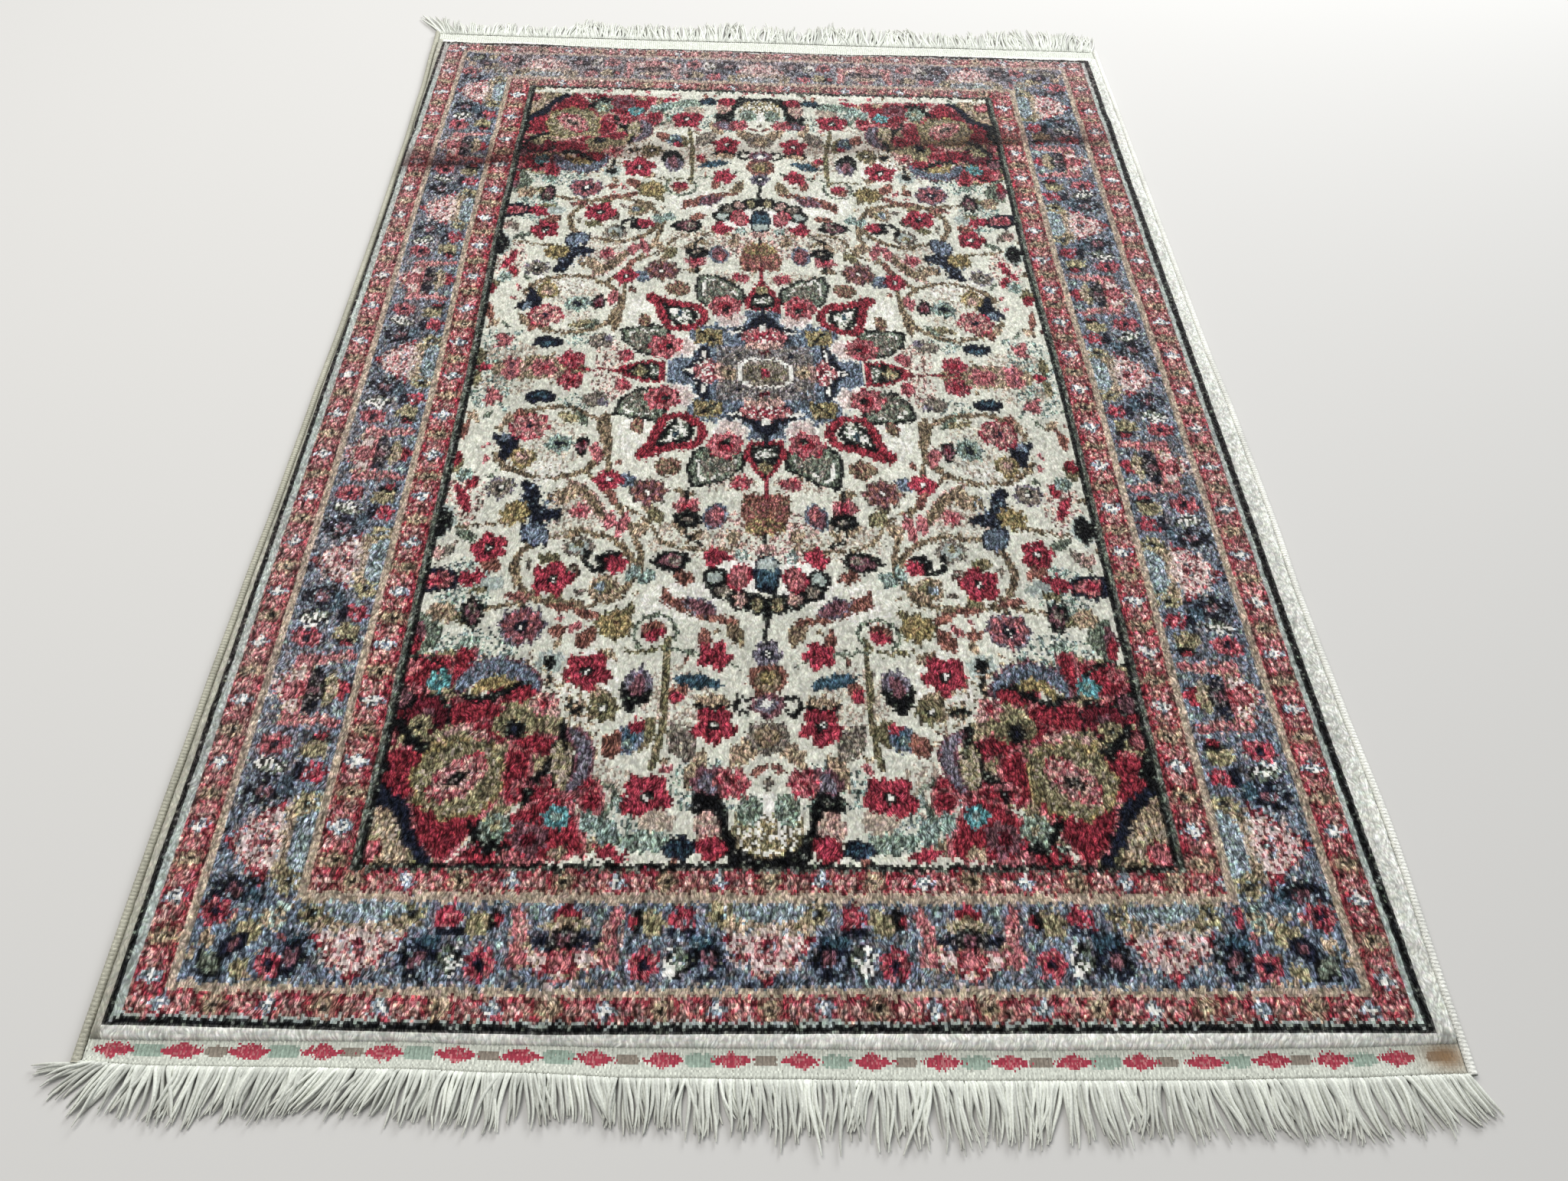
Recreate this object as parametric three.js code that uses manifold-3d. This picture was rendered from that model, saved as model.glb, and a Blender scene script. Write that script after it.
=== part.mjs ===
// A small hand-knotted rug, lying flat on its back. The woven cloth is one solid: a knotted pile between
// two short flatwoven ends. A cotton-bound selvedge runs down each side, and a fringe of warp locks
// leaves a twined row at each end.
// Millimetres, +Z up. +Y runs along the rug, +X across it. The origin is on the floor, under the middle.
import * as THREE from 'three';
import { mergeVertices } from 'three/addons/utils/BufferGeometryUtils.js';
import Module from 'manifold-3d';

const wasm = await Module();
wasm.setup();

// Driving dimensions. The frame is the outer black guard line, which the weaver kept nearly square.
// Lengths below are measured from the frame's corner at the near left.
const frameWidth = 740;
const frameLength = 1106;
const pileHeight = 8;
const pileRimHeight = 6.2;
const pileRimWidth = 5;
const flatweaveHeight = 2.4;
const pileCutWidth = 1.2;
const fitGap = 0.3;

const selvedgeWidth = 5.2;
const selvedgeHeight = 5;
const selvedgeSides = 8;

const twinedRowWidth = 2.4;
const twinedRowHeight = 2.4;
const strandRootWidth = 3;
const strandTipWidth = 1.5;
const strandHeight = 1.8;
const strandSteps = 3;
const strandsPerEnd = 112;

// How far each bound side lies outside the frame. 0 is the near end of the frame and 1 its far end.
const sides = [
  { along: -0.04, left: 12.0, right: 17.5 },
  { along: 0.00, left: 12.2, right: 18.6 },
  { along: 0.12, left: 12.4, right: 22.8 },
  { along: 0.20, left: 11.7, right: 20.9 },
  { along: 0.28, left: 10.8, right: 20.2 },
  { along: 0.36, left: 9.3, right: 21.6 },
  { along: 0.46, left: 8.5, right: 21.2 },
  { along: 0.56, left: 6.9, right: 18.8 },
  { along: 0.68, left: 6.4, right: 18.6 },
  { along: 0.80, left: 7.2, right: 18.3 },
  { along: 0.90, left: 9.0, right: 18.0 },
  { along: 1.00, left: 13.0, right: 17.0 },
  { along: 1.04, left: 15.0, right: 17.0 },
];

// The near and far ends wander: where the pile stops and the flatweave stops, across the rug.
// Near values are in front of the frame and far values are behind it.
const ends = [
  { across: 0.00, nearPile: 6.2, nearWeave: 19.0, farPile: 10.5, farWeave: 30.5 },
  { across: 0.06, nearPile: 7.0, nearWeave: 21.0, farPile: 3.5, farWeave: 29.5 },
  { across: 0.13, nearPile: 7.4, nearWeave: 21.8, farPile: 9.5, farWeave: 29.0 },
  { across: 0.22, nearPile: 7.8, nearWeave: 23.0, farPile: 3.2, farWeave: 30.0 },
  { across: 0.30, nearPile: 9.8, nearWeave: 25.2, farPile: 1.5, farWeave: 30.2 },
  { across: 0.40, nearPile: 11.5, nearWeave: 28.2, farPile: 2.6, farWeave: 30.4 },
  { across: 0.50, nearPile: 12.2, nearWeave: 29.2, farPile: 4.0, farWeave: 31.2 },
  { across: 0.60, nearPile: 13.3, nearWeave: 30.2, farPile: 2.0, farWeave: 30.6 },
  { across: 0.70, nearPile: 13.6, nearWeave: 30.4, farPile: 3.6, farWeave: 31.0 },
  { across: 0.80, nearPile: 13.2, nearWeave: 30.4, farPile: 7.0, farWeave: 32.0 },
  { across: 0.90, nearPile: 12.4, nearWeave: 29.4, farPile: 9.5, farWeave: 32.5 },
  { across: 1.00, nearPile: 10.4, nearWeave: 27.5, farPile: 11.0, farWeave: 32.0 },
];

// Lines across the pile, as a share of its length at the left and at the right side, and how far the
// pile stands above or below its even height there. The crease of an old fold runs a little askew.
const pileLines = [
  { left: 0.02, right: 0.02, swell: 0.2 },
  { left: 0.10, right: 0.10, swell: 0.1 },
  { left: 0.20, right: 0.20, swell: -0.2 },
  { left: 0.30, right: 0.30, swell: 0.1 },
  { left: 0.40, right: 0.40, swell: 0.2 },
  { left: 0.50, right: 0.50, swell: 0.0 },
  { left: 0.60, right: 0.60, swell: -0.2 },
  { left: 0.69, right: 0.73, swell: 0.1 },
  { left: 0.755, right: 0.825, swell: 0.3 },
  { left: 0.780, right: 0.850, swell: 1.3 },
  { left: 0.800, right: 0.870, swell: 1.8 },
  { left: 0.820, right: 0.888, swell: -1.0 },
  { left: 0.840, right: 0.905, swell: 0.2 },
  { left: 0.92, right: 0.95, swell: 0.3 },
  { left: 0.98, right: 0.98, swell: 0.1 },
];
const pileColumns = 24;
const sideWaves = { count: 2.5, height: 0.25 };

// The fringe: how long its locks are and which way they lie. The angle is from straight out, positive
// towards +X. At the near left and the far corners the locks fan out past the rug.
const nearFringe = [
  { across: 0.000, length: 26, angle: -84 },
  { across: 0.010, length: 27, angle: -58 },
  { across: 0.025, length: 26, angle: -30 },
  { across: 0.050, length: 25, angle: -10 },
  { across: 0.12, length: 25, angle: 4 },
  { across: 0.22, length: 25, angle: 6 },
  { across: 0.26, length: 27, angle: 3 },
  { across: 0.40, length: 25, angle: 4 },
  { across: 0.50, length: 28, angle: 1 },
  { across: 0.62, length: 30, angle: 3 },
  { across: 0.75, length: 29, angle: 5 },
  { across: 0.88, length: 30, angle: 4 },
  { across: 0.95, length: 29, angle: 9 },
  { across: 0.985, length: 29, angle: 20 },
  { across: 1.000, length: 27, angle: 38 },
];
const farFringe = [
  { across: 0.000, length: 56, angle: -26 },
  { across: 0.015, length: 44, angle: -20 },
  { across: 0.030, length: 28, angle: -12 },
  { across: 0.10, length: 28, angle: -4 },
  { across: 0.17, length: 29, angle: -4 },
  { across: 0.22, length: 44, angle: -3 },
  { across: 0.27, length: 33, angle: -5 },
  { across: 0.32, length: 40, angle: -9 },
  { across: 0.38, length: 33, angle: -6 },
  { across: 0.43, length: 46, angle: -1 },
  { across: 0.50, length: 42, angle: 0 },
  { across: 0.54, length: 30, angle: 3 },
  { across: 0.59, length: 50, angle: 2 },
  { across: 0.65, length: 44, angle: 3 },
  { across: 0.73, length: 42, angle: 0 },
  { across: 0.78, length: 34, angle: 1 },
  { across: 0.86, length: 46, angle: 3 },
  { across: 0.95, length: 49, angle: 6 },
  { across: 1.000, length: 42, angle: 18 },
];

// The value of one column of a table, smoothly between its rows.
function between(table, key, column, at) {
  const last = table.length - 1;
  let row = 0;
  while (row < last - 1 && at > table[row + 1][key]) row += 1;
  const from = table[row];
  const to = table[row + 1];
  const share = THREE.MathUtils.clamp((at - from[key]) / (to[key] - from[key]), 0, 1);
  const eased = share * share * (3 - 2 * share);
  return from[column] + (to[column] - from[column]) * eased;
}

// A repeatable number from -1 to 1 for each lock, so that the fringe is uneven in the same way each time.
function unevenness(index, salt) {
  const wave = Math.sin(index * 12.9898 + salt * 78.233) * 43758.5453;
  return 2 * (wave - Math.floor(wave)) - 1;
}

const leftBound = (y) => -between(sides, 'along', 'left', y / frameLength);
const rightBound = (y) => frameWidth + between(sides, 'along', 'right', y / frameLength);
const clothLeft = (y) => leftBound(y) + selvedgeWidth + fitGap;
const clothRight = (y) => rightBound(y) - selvedgeWidth - fitGap;
const nearPileEnd = (across) => -between(ends, 'across', 'nearPile', across);
const nearWeaveEnd = (across) => -between(ends, 'across', 'nearWeave', across);
const farPileEnd = (across) => frameLength + between(ends, 'across', 'farPile', across);
const farWeaveEnd = (across) => frameLength + between(ends, 'across', 'farWeave', across);

// A closed solid through rings of points, all with the same even number of points. The first and last
// rings are closed by a ladder of quads, from one half of the ring to the other.
function skin(rings) {
  const sidesOfRing = rings[0].length;
  const positions = rings.flat(2);
  const faces = [];
  for (let ring = 0; ring < rings.length - 1; ring += 1) {
    for (let side = 0; side < sidesOfRing; side += 1) {
      const next = (side + 1) % sidesOfRing;
      const a = ring * sidesOfRing + side;
      const b = ring * sidesOfRing + next;
      faces.push(a, b, b + sidesOfRing, a, b + sidesOfRing, a + sidesOfRing);
    }
  }
  const end = (rings.length - 1) * sidesOfRing;
  for (let a = 0; a < sidesOfRing / 2 - 1; a += 1) {
    const b = a + 1;
    const c = sidesOfRing - 1 - b;
    const d = sidesOfRing - 1 - a;
    faces.push(a, c, b, a, d, c);
    faces.push(end + a, end + b, end + c, end + a, end + c, end + d);
  }
  const geometry = new THREE.BufferGeometry();
  geometry.setAttribute('position', new THREE.Float32BufferAttribute(positions, 3));
  geometry.setIndex(faces);
  return geometry;
}

function toSolid(geometry) {
  const bare = geometry.clone();
  bare.deleteAttribute('normal');
  bare.deleteAttribute('uv');
  const merged = mergeVertices(bare);
  const vertProperties = new Float32Array(merged.attributes.position.array);
  const triVerts = new Uint32Array(merged.index.array);
  return new wasm.Manifold(new wasm.Mesh({ numProp: 3, vertProperties, triVerts }));
}

function toGeometry(solid) {
  const mesh = solid.getMesh();
  const geometry = new THREE.BufferGeometry();
  geometry.setAttribute('position', new THREE.Float32BufferAttribute(mesh.vertProperties, 3));
  geometry.setIndex(Array.from(mesh.triVerts));
  return geometry;
}

// The cloth
// Its rows run from the near edge of the flatweave to the far one. Each row knows its place along the
// rug and its height, and the pile thins towards its cut rim.
function clothRows() {
  const pilePlace = (line) => (across) => {
    const share = line.left + (line.right - line.left) * across;
    return nearPileEnd(across) + (farPileEnd(across) - nearPileEnd(across)) * share;
  };
  const pileSwell = (line) => (across) =>
    pileHeight + line.swell + sideWaves.height * Math.sin(2 * Math.PI * sideWaves.count * across + 9 * line.left);
  const level = (height) => () => height;
  return [
    { place: nearWeaveEnd, height: level(flatweaveHeight) },
    { place: (across) => nearPileEnd(across) - pileCutWidth, height: level(flatweaveHeight) },
    { place: nearPileEnd, height: level(pileRimHeight), pile: true },
    ...pileLines.map((line) => ({ place: pilePlace(line), height: pileSwell(line), pile: true })),
    { place: farPileEnd, height: level(pileRimHeight), pile: true },
    { place: (across) => farPileEnd(across) + pileCutWidth, height: level(flatweaveHeight) },
    { place: farWeaveEnd, height: level(flatweaveHeight) },
  ];
}

function clothColumns() {
  const rim = pileRimWidth / frameWidth;
  const inner = Array.from({ length: pileColumns + 1 }, (_, step) => rim + (1 - 2 * rim) * (step / pileColumns));
  return [0, ...inner, 1];
}

function makeCloth() {
  const columns = clothColumns();
  const rows = clothRows();
  const lastColumn = columns.length - 1;
  const ringOf = (across, column) => {
    const onRim = column === 0 || column === lastColumn;
    const top = rows.map((row) => {
      const y = row.place(across);
      const x = clothLeft(y) + (clothRight(y) - clothLeft(y)) * across;
      const height = row.height(across);
      return [x, y, onRim && row.pile ? Math.min(height, pileRimHeight) : height];
    });
    const bottom = top.map(([x, y]) => [x, y, 0]);
    return [...bottom, ...top.reverse()];
  };
  return skin(columns.map(ringOf));
}

// The selvedges
// Cotton overcast over the outer warps: a flat-bottomed cord that follows the side of the cloth.
// It turns at the same places as the cloth, so the gap between them stays even.
function makeSelvedge(outerEdge, inward) {
  const across = inward > 0 ? 0 : 1;
  const rings = [];
  for (const row of clothRows()) {
    const y = row.place(across);
    const middle = outerEdge(y) + (inward * selvedgeWidth) / 2;
    const ring = [];
    for (let side = 0; side < selvedgeSides; side += 1) {
      const turn = -((side + 0.5) / selvedgeSides) * 2 * Math.PI;
      const reach = 1 / Math.cos(Math.PI / selvedgeSides);
      const x = middle + (selvedgeWidth / 2) * reach * Math.cos(turn);
      const z = (selvedgeHeight / 2) * (1 + reach * Math.sin(turn));
      ring.push([x, y, Math.max(0, z)]);
    }
    rings.push(ring);
  }
  return skin(rings);
}

// The fringes
// Each is a twined row of cotton along the end of the flatweave, with the warp locks leaving it.
// outward is -1 at the near end and 1 at the far end.
function makeTwinedRow(weaveEnd, outward) {
  const rings = [];
  for (const across of clothColumns()) {
    const inner = weaveEnd(across) + outward * fitGap;
    const outer = inner + outward * twinedRowWidth;
    const x = clothLeft(inner) + (clothRight(inner) - clothLeft(inner)) * across;
    const ring = [[x, inner, 0], [x, inner, twinedRowHeight], [x, outer, twinedRowHeight], [x, outer, 0]];
    rings.push(outward > 0 ? ring.reverse() : ring);
  }
  return skin(rings);
}

function makeStrand(root, angle, bend, length) {
  const rings = [];
  const point = { x: root.x, y: root.y };
  for (let step = 0; step <= strandSteps; step += 1) {
    const share = step / strandSteps;
    const heading = THREE.MathUtils.degToRad(angle + bend * share);
    const ahead = { x: Math.sin(heading), y: root.outward * Math.cos(heading) };
    if (step > 0) {
      point.x += ahead.x * (length / strandSteps);
      point.y += ahead.y * (length / strandSteps);
    }
    const foot = (strandRootWidth + (strandTipWidth - strandRootWidth) * share) / 2;
    const crown = foot * 0.5;
    const height = strandHeight * (1 - 0.3 * share);
    const beside = { x: -ahead.y, y: ahead.x };
    const corner = (offset, z) => [point.x + beside.x * offset, point.y + beside.y * offset, z];
    rings.push([corner(-foot, 0), corner(foot, 0), corner(crown, height), corner(-crown, height)]);
  }
  return skin(rings);
}

function makeFringe(weaveEnd, table, outward) {
  let fringe = toSolid(makeTwinedRow(weaveEnd, outward));
  for (let index = 0; index < strandsPerEnd; index += 1) {
    const across = (index + 0.5) / strandsPerEnd;
    const edge = weaveEnd(across) + outward * fitGap;
    const x = clothLeft(edge) + (clothRight(edge) - clothLeft(edge)) * across;
    const root = { x, y: edge + outward * twinedRowWidth * 0.6, outward };
    const angle = between(table, 'across', 'angle', across) + 1.6 * unevenness(index, outward);
    const bend = 4 * unevenness(index, outward + 5);
    const length = between(table, 'across', 'length', across) * (1 + 0.06 * unevenness(index, outward + 9));
    fringe = fringe.add(toSolid(makeStrand(root, angle, bend, length)));
  }
  return toGeometry(fringe);
}

const wool = new THREE.MeshStandardMaterial({ color: '#b9a79c', roughness: 0.8, metalness: 0 });
const binding = new THREE.MeshStandardMaterial({ color: '#e2e2d8', roughness: 0.85, metalness: 0 });
const warp = new THREE.MeshStandardMaterial({ color: '#d3d6cf', roughness: 0.8, metalness: 0 });

const pieces = [
  { name: 'knotted_cloth', geometry: makeCloth(), material: wool },
  { name: 'selvedge_left', geometry: makeSelvedge(leftBound, 1), material: binding },
  { name: 'selvedge_right', geometry: makeSelvedge(rightBound, -1), material: binding },
  { name: 'fringe_near', geometry: makeFringe(nearWeaveEnd, nearFringe, -1), material: warp },
  { name: 'fringe_far', geometry: makeFringe(farWeaveEnd, farFringe, 1), material: warp },
];

const rug = new THREE.Group();
for (const piece of pieces) {
  piece.geometry.computeVertexNormals();
  const mesh = new THREE.Mesh(piece.geometry, piece.material);
  mesh.name = piece.name;
  rug.add(mesh);
}

// The middle of the whole rug, fringes included, goes over the origin.
const middle = new THREE.Box3().setFromObject(rug).getCenter(new THREE.Vector3());
rug.position.set(-middle.x, -middle.y, 0);
rug.updateMatrixWorld(true);

export default rug;
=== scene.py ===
"""A small hand-knotted wool rug with a medallion and flowers on an ivory field, lying on the floor."""
import math

import bpy
import numpy as np
from mathutils import Matrix, Vector


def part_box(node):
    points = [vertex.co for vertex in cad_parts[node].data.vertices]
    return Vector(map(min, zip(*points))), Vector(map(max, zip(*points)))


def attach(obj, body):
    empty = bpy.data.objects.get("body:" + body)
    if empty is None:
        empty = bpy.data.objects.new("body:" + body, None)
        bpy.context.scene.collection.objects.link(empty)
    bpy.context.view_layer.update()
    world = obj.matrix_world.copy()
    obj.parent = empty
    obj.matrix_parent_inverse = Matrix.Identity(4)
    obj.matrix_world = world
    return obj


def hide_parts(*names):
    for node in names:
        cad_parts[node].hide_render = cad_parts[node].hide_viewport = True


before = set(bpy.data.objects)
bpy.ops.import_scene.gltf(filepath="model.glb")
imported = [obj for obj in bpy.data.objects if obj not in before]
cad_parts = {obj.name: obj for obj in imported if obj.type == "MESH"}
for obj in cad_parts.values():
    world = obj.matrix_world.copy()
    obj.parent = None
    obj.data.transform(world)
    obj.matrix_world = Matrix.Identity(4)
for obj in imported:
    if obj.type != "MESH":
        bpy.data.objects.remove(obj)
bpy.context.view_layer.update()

# Where the rug lies
# The weaver kept the outer black line nearly square: 740 by 1106 mm. Sizes and places below are in
# millimetres from that frame's near left corner, as in the CAD model, with the floor at height 0.
FRAME_WIDTH, FRAME_LENGTH = 740.0, 1106.0
CLOTH_OUTSIDE_FRAME = (9.0, 30.4)
MM = 0.001
cloth_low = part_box("knotted_cloth")[0]
FRAME_CORNER = [cloth_low[axis] + CLOTH_OUTSIDE_FRAME[axis] * MM for axis in (0, 1)]


def to_metres(points):
    """Points in millimetres from the frame's corner, as points in the scene."""
    placed = np.asarray(points, float) * MM
    placed[..., 0] += FRAME_CORNER[0]
    placed[..., 1] += FRAME_CORNER[1]
    return placed


# The view
# The photograph was taken from about 0.7 m above the floor, just beyond the near end and a little to the
# left of the rug's middle line, looking down with a wide lens that was held not quite level.
PHOTO_WIDTH_PX, FOCAL_LENGTH_PX = 2048, 1540
CAMERA_PLACE = (343.2, -226.2, 667.3)
CAMERA_AIM = Vector((0.0383, 0.6302, -0.7754))
CAMERA_ROLL = 3.42

camera_data = bpy.data.cameras.new("camera")
camera_data.sensor_width = 36.0
camera_data.lens = camera_data.sensor_width * FOCAL_LENGTH_PX / PHOTO_WIDTH_PX
camera_data.clip_start = 0.01
camera = bpy.data.objects.new("camera", camera_data)
roll = Matrix.Rotation(math.radians(CAMERA_ROLL), 4, "Z")
turn = CAMERA_AIM.to_track_quat("-Z", "Y").to_matrix().to_4x4()
camera.matrix_world = Matrix.Translation(Vector(to_metres(CAMERA_PLACE))) @ turn @ roll
bpy.context.scene.collection.objects.link(camera)
bpy.context.scene.camera = camera


def area_light(name, place, aim, size, power, colour):
    """A soft box: a rectangular light at a place in metres, facing a point."""
    data = bpy.data.lights.new(name, "AREA")
    data.shape = "RECTANGLE"
    data.size, data.size_y = size
    data.energy = power
    data.color = colour
    light = bpy.data.objects.new(name, data)
    light.location = place
    light.rotation_euler = (Vector(aim) - Vector(place)).to_track_quat("-Z", "Y").to_euler()
    bpy.context.scene.collection.objects.link(light)


area_light("window", (1.2, 2.6, 1.5), (0.0, 0.1, 0.0), (1.8, 1.2), 112, (0.96, 0.98, 1.0))
area_light("ceiling", (-0.9, 0.3, 2.4), (0.0, 0.0, 0.0), (1.6, 1.6), 50, (1.0, 0.98, 0.95))

world = bpy.data.worlds.new("room")
world.use_nodes = True
world.node_tree.nodes["Background"].inputs["Color"].default_value = (0.85, 0.88, 0.92, 1.0)
world.node_tree.nodes["Background"].inputs["Strength"].default_value = 0.36
bpy.context.scene.world = world
bpy.context.scene.view_settings.view_transform = "Standard"


def new_material(name):
    """A new material and its main shader."""
    material = bpy.data.materials.new(name)
    material.use_nodes = True
    return material, material.node_tree.nodes["Principled BSDF"]


# The floor
# A plain pale floor, a fifth of a millimetre below the rug, so that the two surfaces never meet.
FLOOR_REACH, FLOOR_DROP = 6.0, 0.0002
floor_mesh = bpy.data.meshes.new("floor")
floor_corners = [(x * FLOOR_REACH, y * FLOOR_REACH, 0) for x, y in ((-1, -1), (1, -1), (1, 1), (-1, 1))]
floor_mesh.from_pydata(floor_corners, [], [(0, 1, 2, 3)])
floor = bpy.data.objects.new("floor", floor_mesh)
floor.location.z = -FLOOR_DROP
bpy.context.scene.collection.objects.link(floor)
floor_material, floor_shader = new_material("pale_floor")
floor_shader.inputs["Base Color"].default_value = (0.56, 0.55, 0.53, 1.0)
floor_shader.inputs["Roughness"].default_value = 0.8
floor_shader.inputs["Specular IOR Level"].default_value = 0.1
floor_mesh.materials.append(floor_material)

# The yarns of the pile
# Hand-spun wool in softly faded dyes, named as the weaver would ask for them. Colours are as seen,
# 0 to 255. Pale yarns show less light and dark from tuft to tuft, so they have a lower contrast.
YARNS = {
    "ivory": (208, 208, 194), "cream": (190, 174, 158), "black": (14, 15, 17), "navy": (26, 30, 44),
    "slate": (122, 135, 151), "pale_blue": (162, 176, 186), "teal": (68, 94, 108), "aqua": (160, 180, 172),
    "turquoise": (104, 162, 166), "sage": (126, 136, 120), "olive": (136, 128, 98), "gold": (168, 150, 106),
    "khaki": (168, 158, 124), "tan": (186, 164, 138), "stem": (146, 128, 104), "rust": (150, 102, 90),
    "brown": (88, 62, 52), "crimson": (152, 54, 66), "red": (172, 66, 82), "rose": (194, 118, 122),
    "blush": (214, 174, 164), "mauve": (130, 88, 96), "lilac": (128, 122, 134), "taupe": (146, 136, 124),
    # The ends' edge yarn is white cotton made lighter still, a painted highlight against the shade where
    # the pile rounds down to the flatweave.
    "grey_green": (166, 176, 170), "white": (228, 226, 218), "edge": (255, 255, 246),
    "dull_edge": (176, 174, 160), "bright_edge": (222, 223, 214), "line": (180, 163, 144),
    "wine": (106, 36, 48), "madder": (152, 102, 94), "pale_green": (158, 176, 162),
    "smoke": (112, 118, 108), "haze": (140, 134, 134), "petal": (216, 198, 192)}
TUFT_CONTRAST = {
    "ivory": 0.34, "white": 0.34, "petal": 0.6, "cream": 0.7, "edge": 0.4, "dull_edge": 0.3,
    "bright_edge": 0.4, "line": 0.7, "grey_green": 0.5}
NUMBER = {name: number for number, name in enumerate(YARNS)}


def linear(colour):
    """A colour as seen, 0 to 255, as the light value that Blender works in."""
    seen = np.asarray(colour, float) / 255
    return np.where(seen <= 0.04045, seen / 12.92, ((seen + 0.055) / 1.055) ** 2.4)


YARN_LIGHT = linear(list(YARNS.values()))
CONTRAST = np.array([TUFT_CONTRAST.get(name, 1.0) for name in YARNS])

# The weaver's charts
# The weaver works from a chart of the rug's motifs: flowers, buds, leaves, palmettes, scrolls and stems.
# A chart is a small plan in millimetres. Each motif is drawn over what is there before it.
ROUTE_STEPS = 6


def smooth(points):
    """A smooth route through given points, with the same number of steps between each two."""
    knots = np.array(points, float)
    knots = np.vstack([2 * knots[0] - knots[1], knots, 2 * knots[-1] - knots[-2]])
    route = []
    for before, here, after, beyond in zip(knots, knots[1:], knots[2:], knots[3:]):
        for t in np.arange(ROUTE_STEPS) / ROUTE_STEPS:
            bend = (2 * before - 5 * here + 4 * after - beyond) * t * t
            turn = (3 * here - before - 3 * after + beyond) * t ** 3
            route.append(0.5 * (2 * here + (after - before) * t + bend + turn))
    return np.array(route + [knots[-2]])


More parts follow.
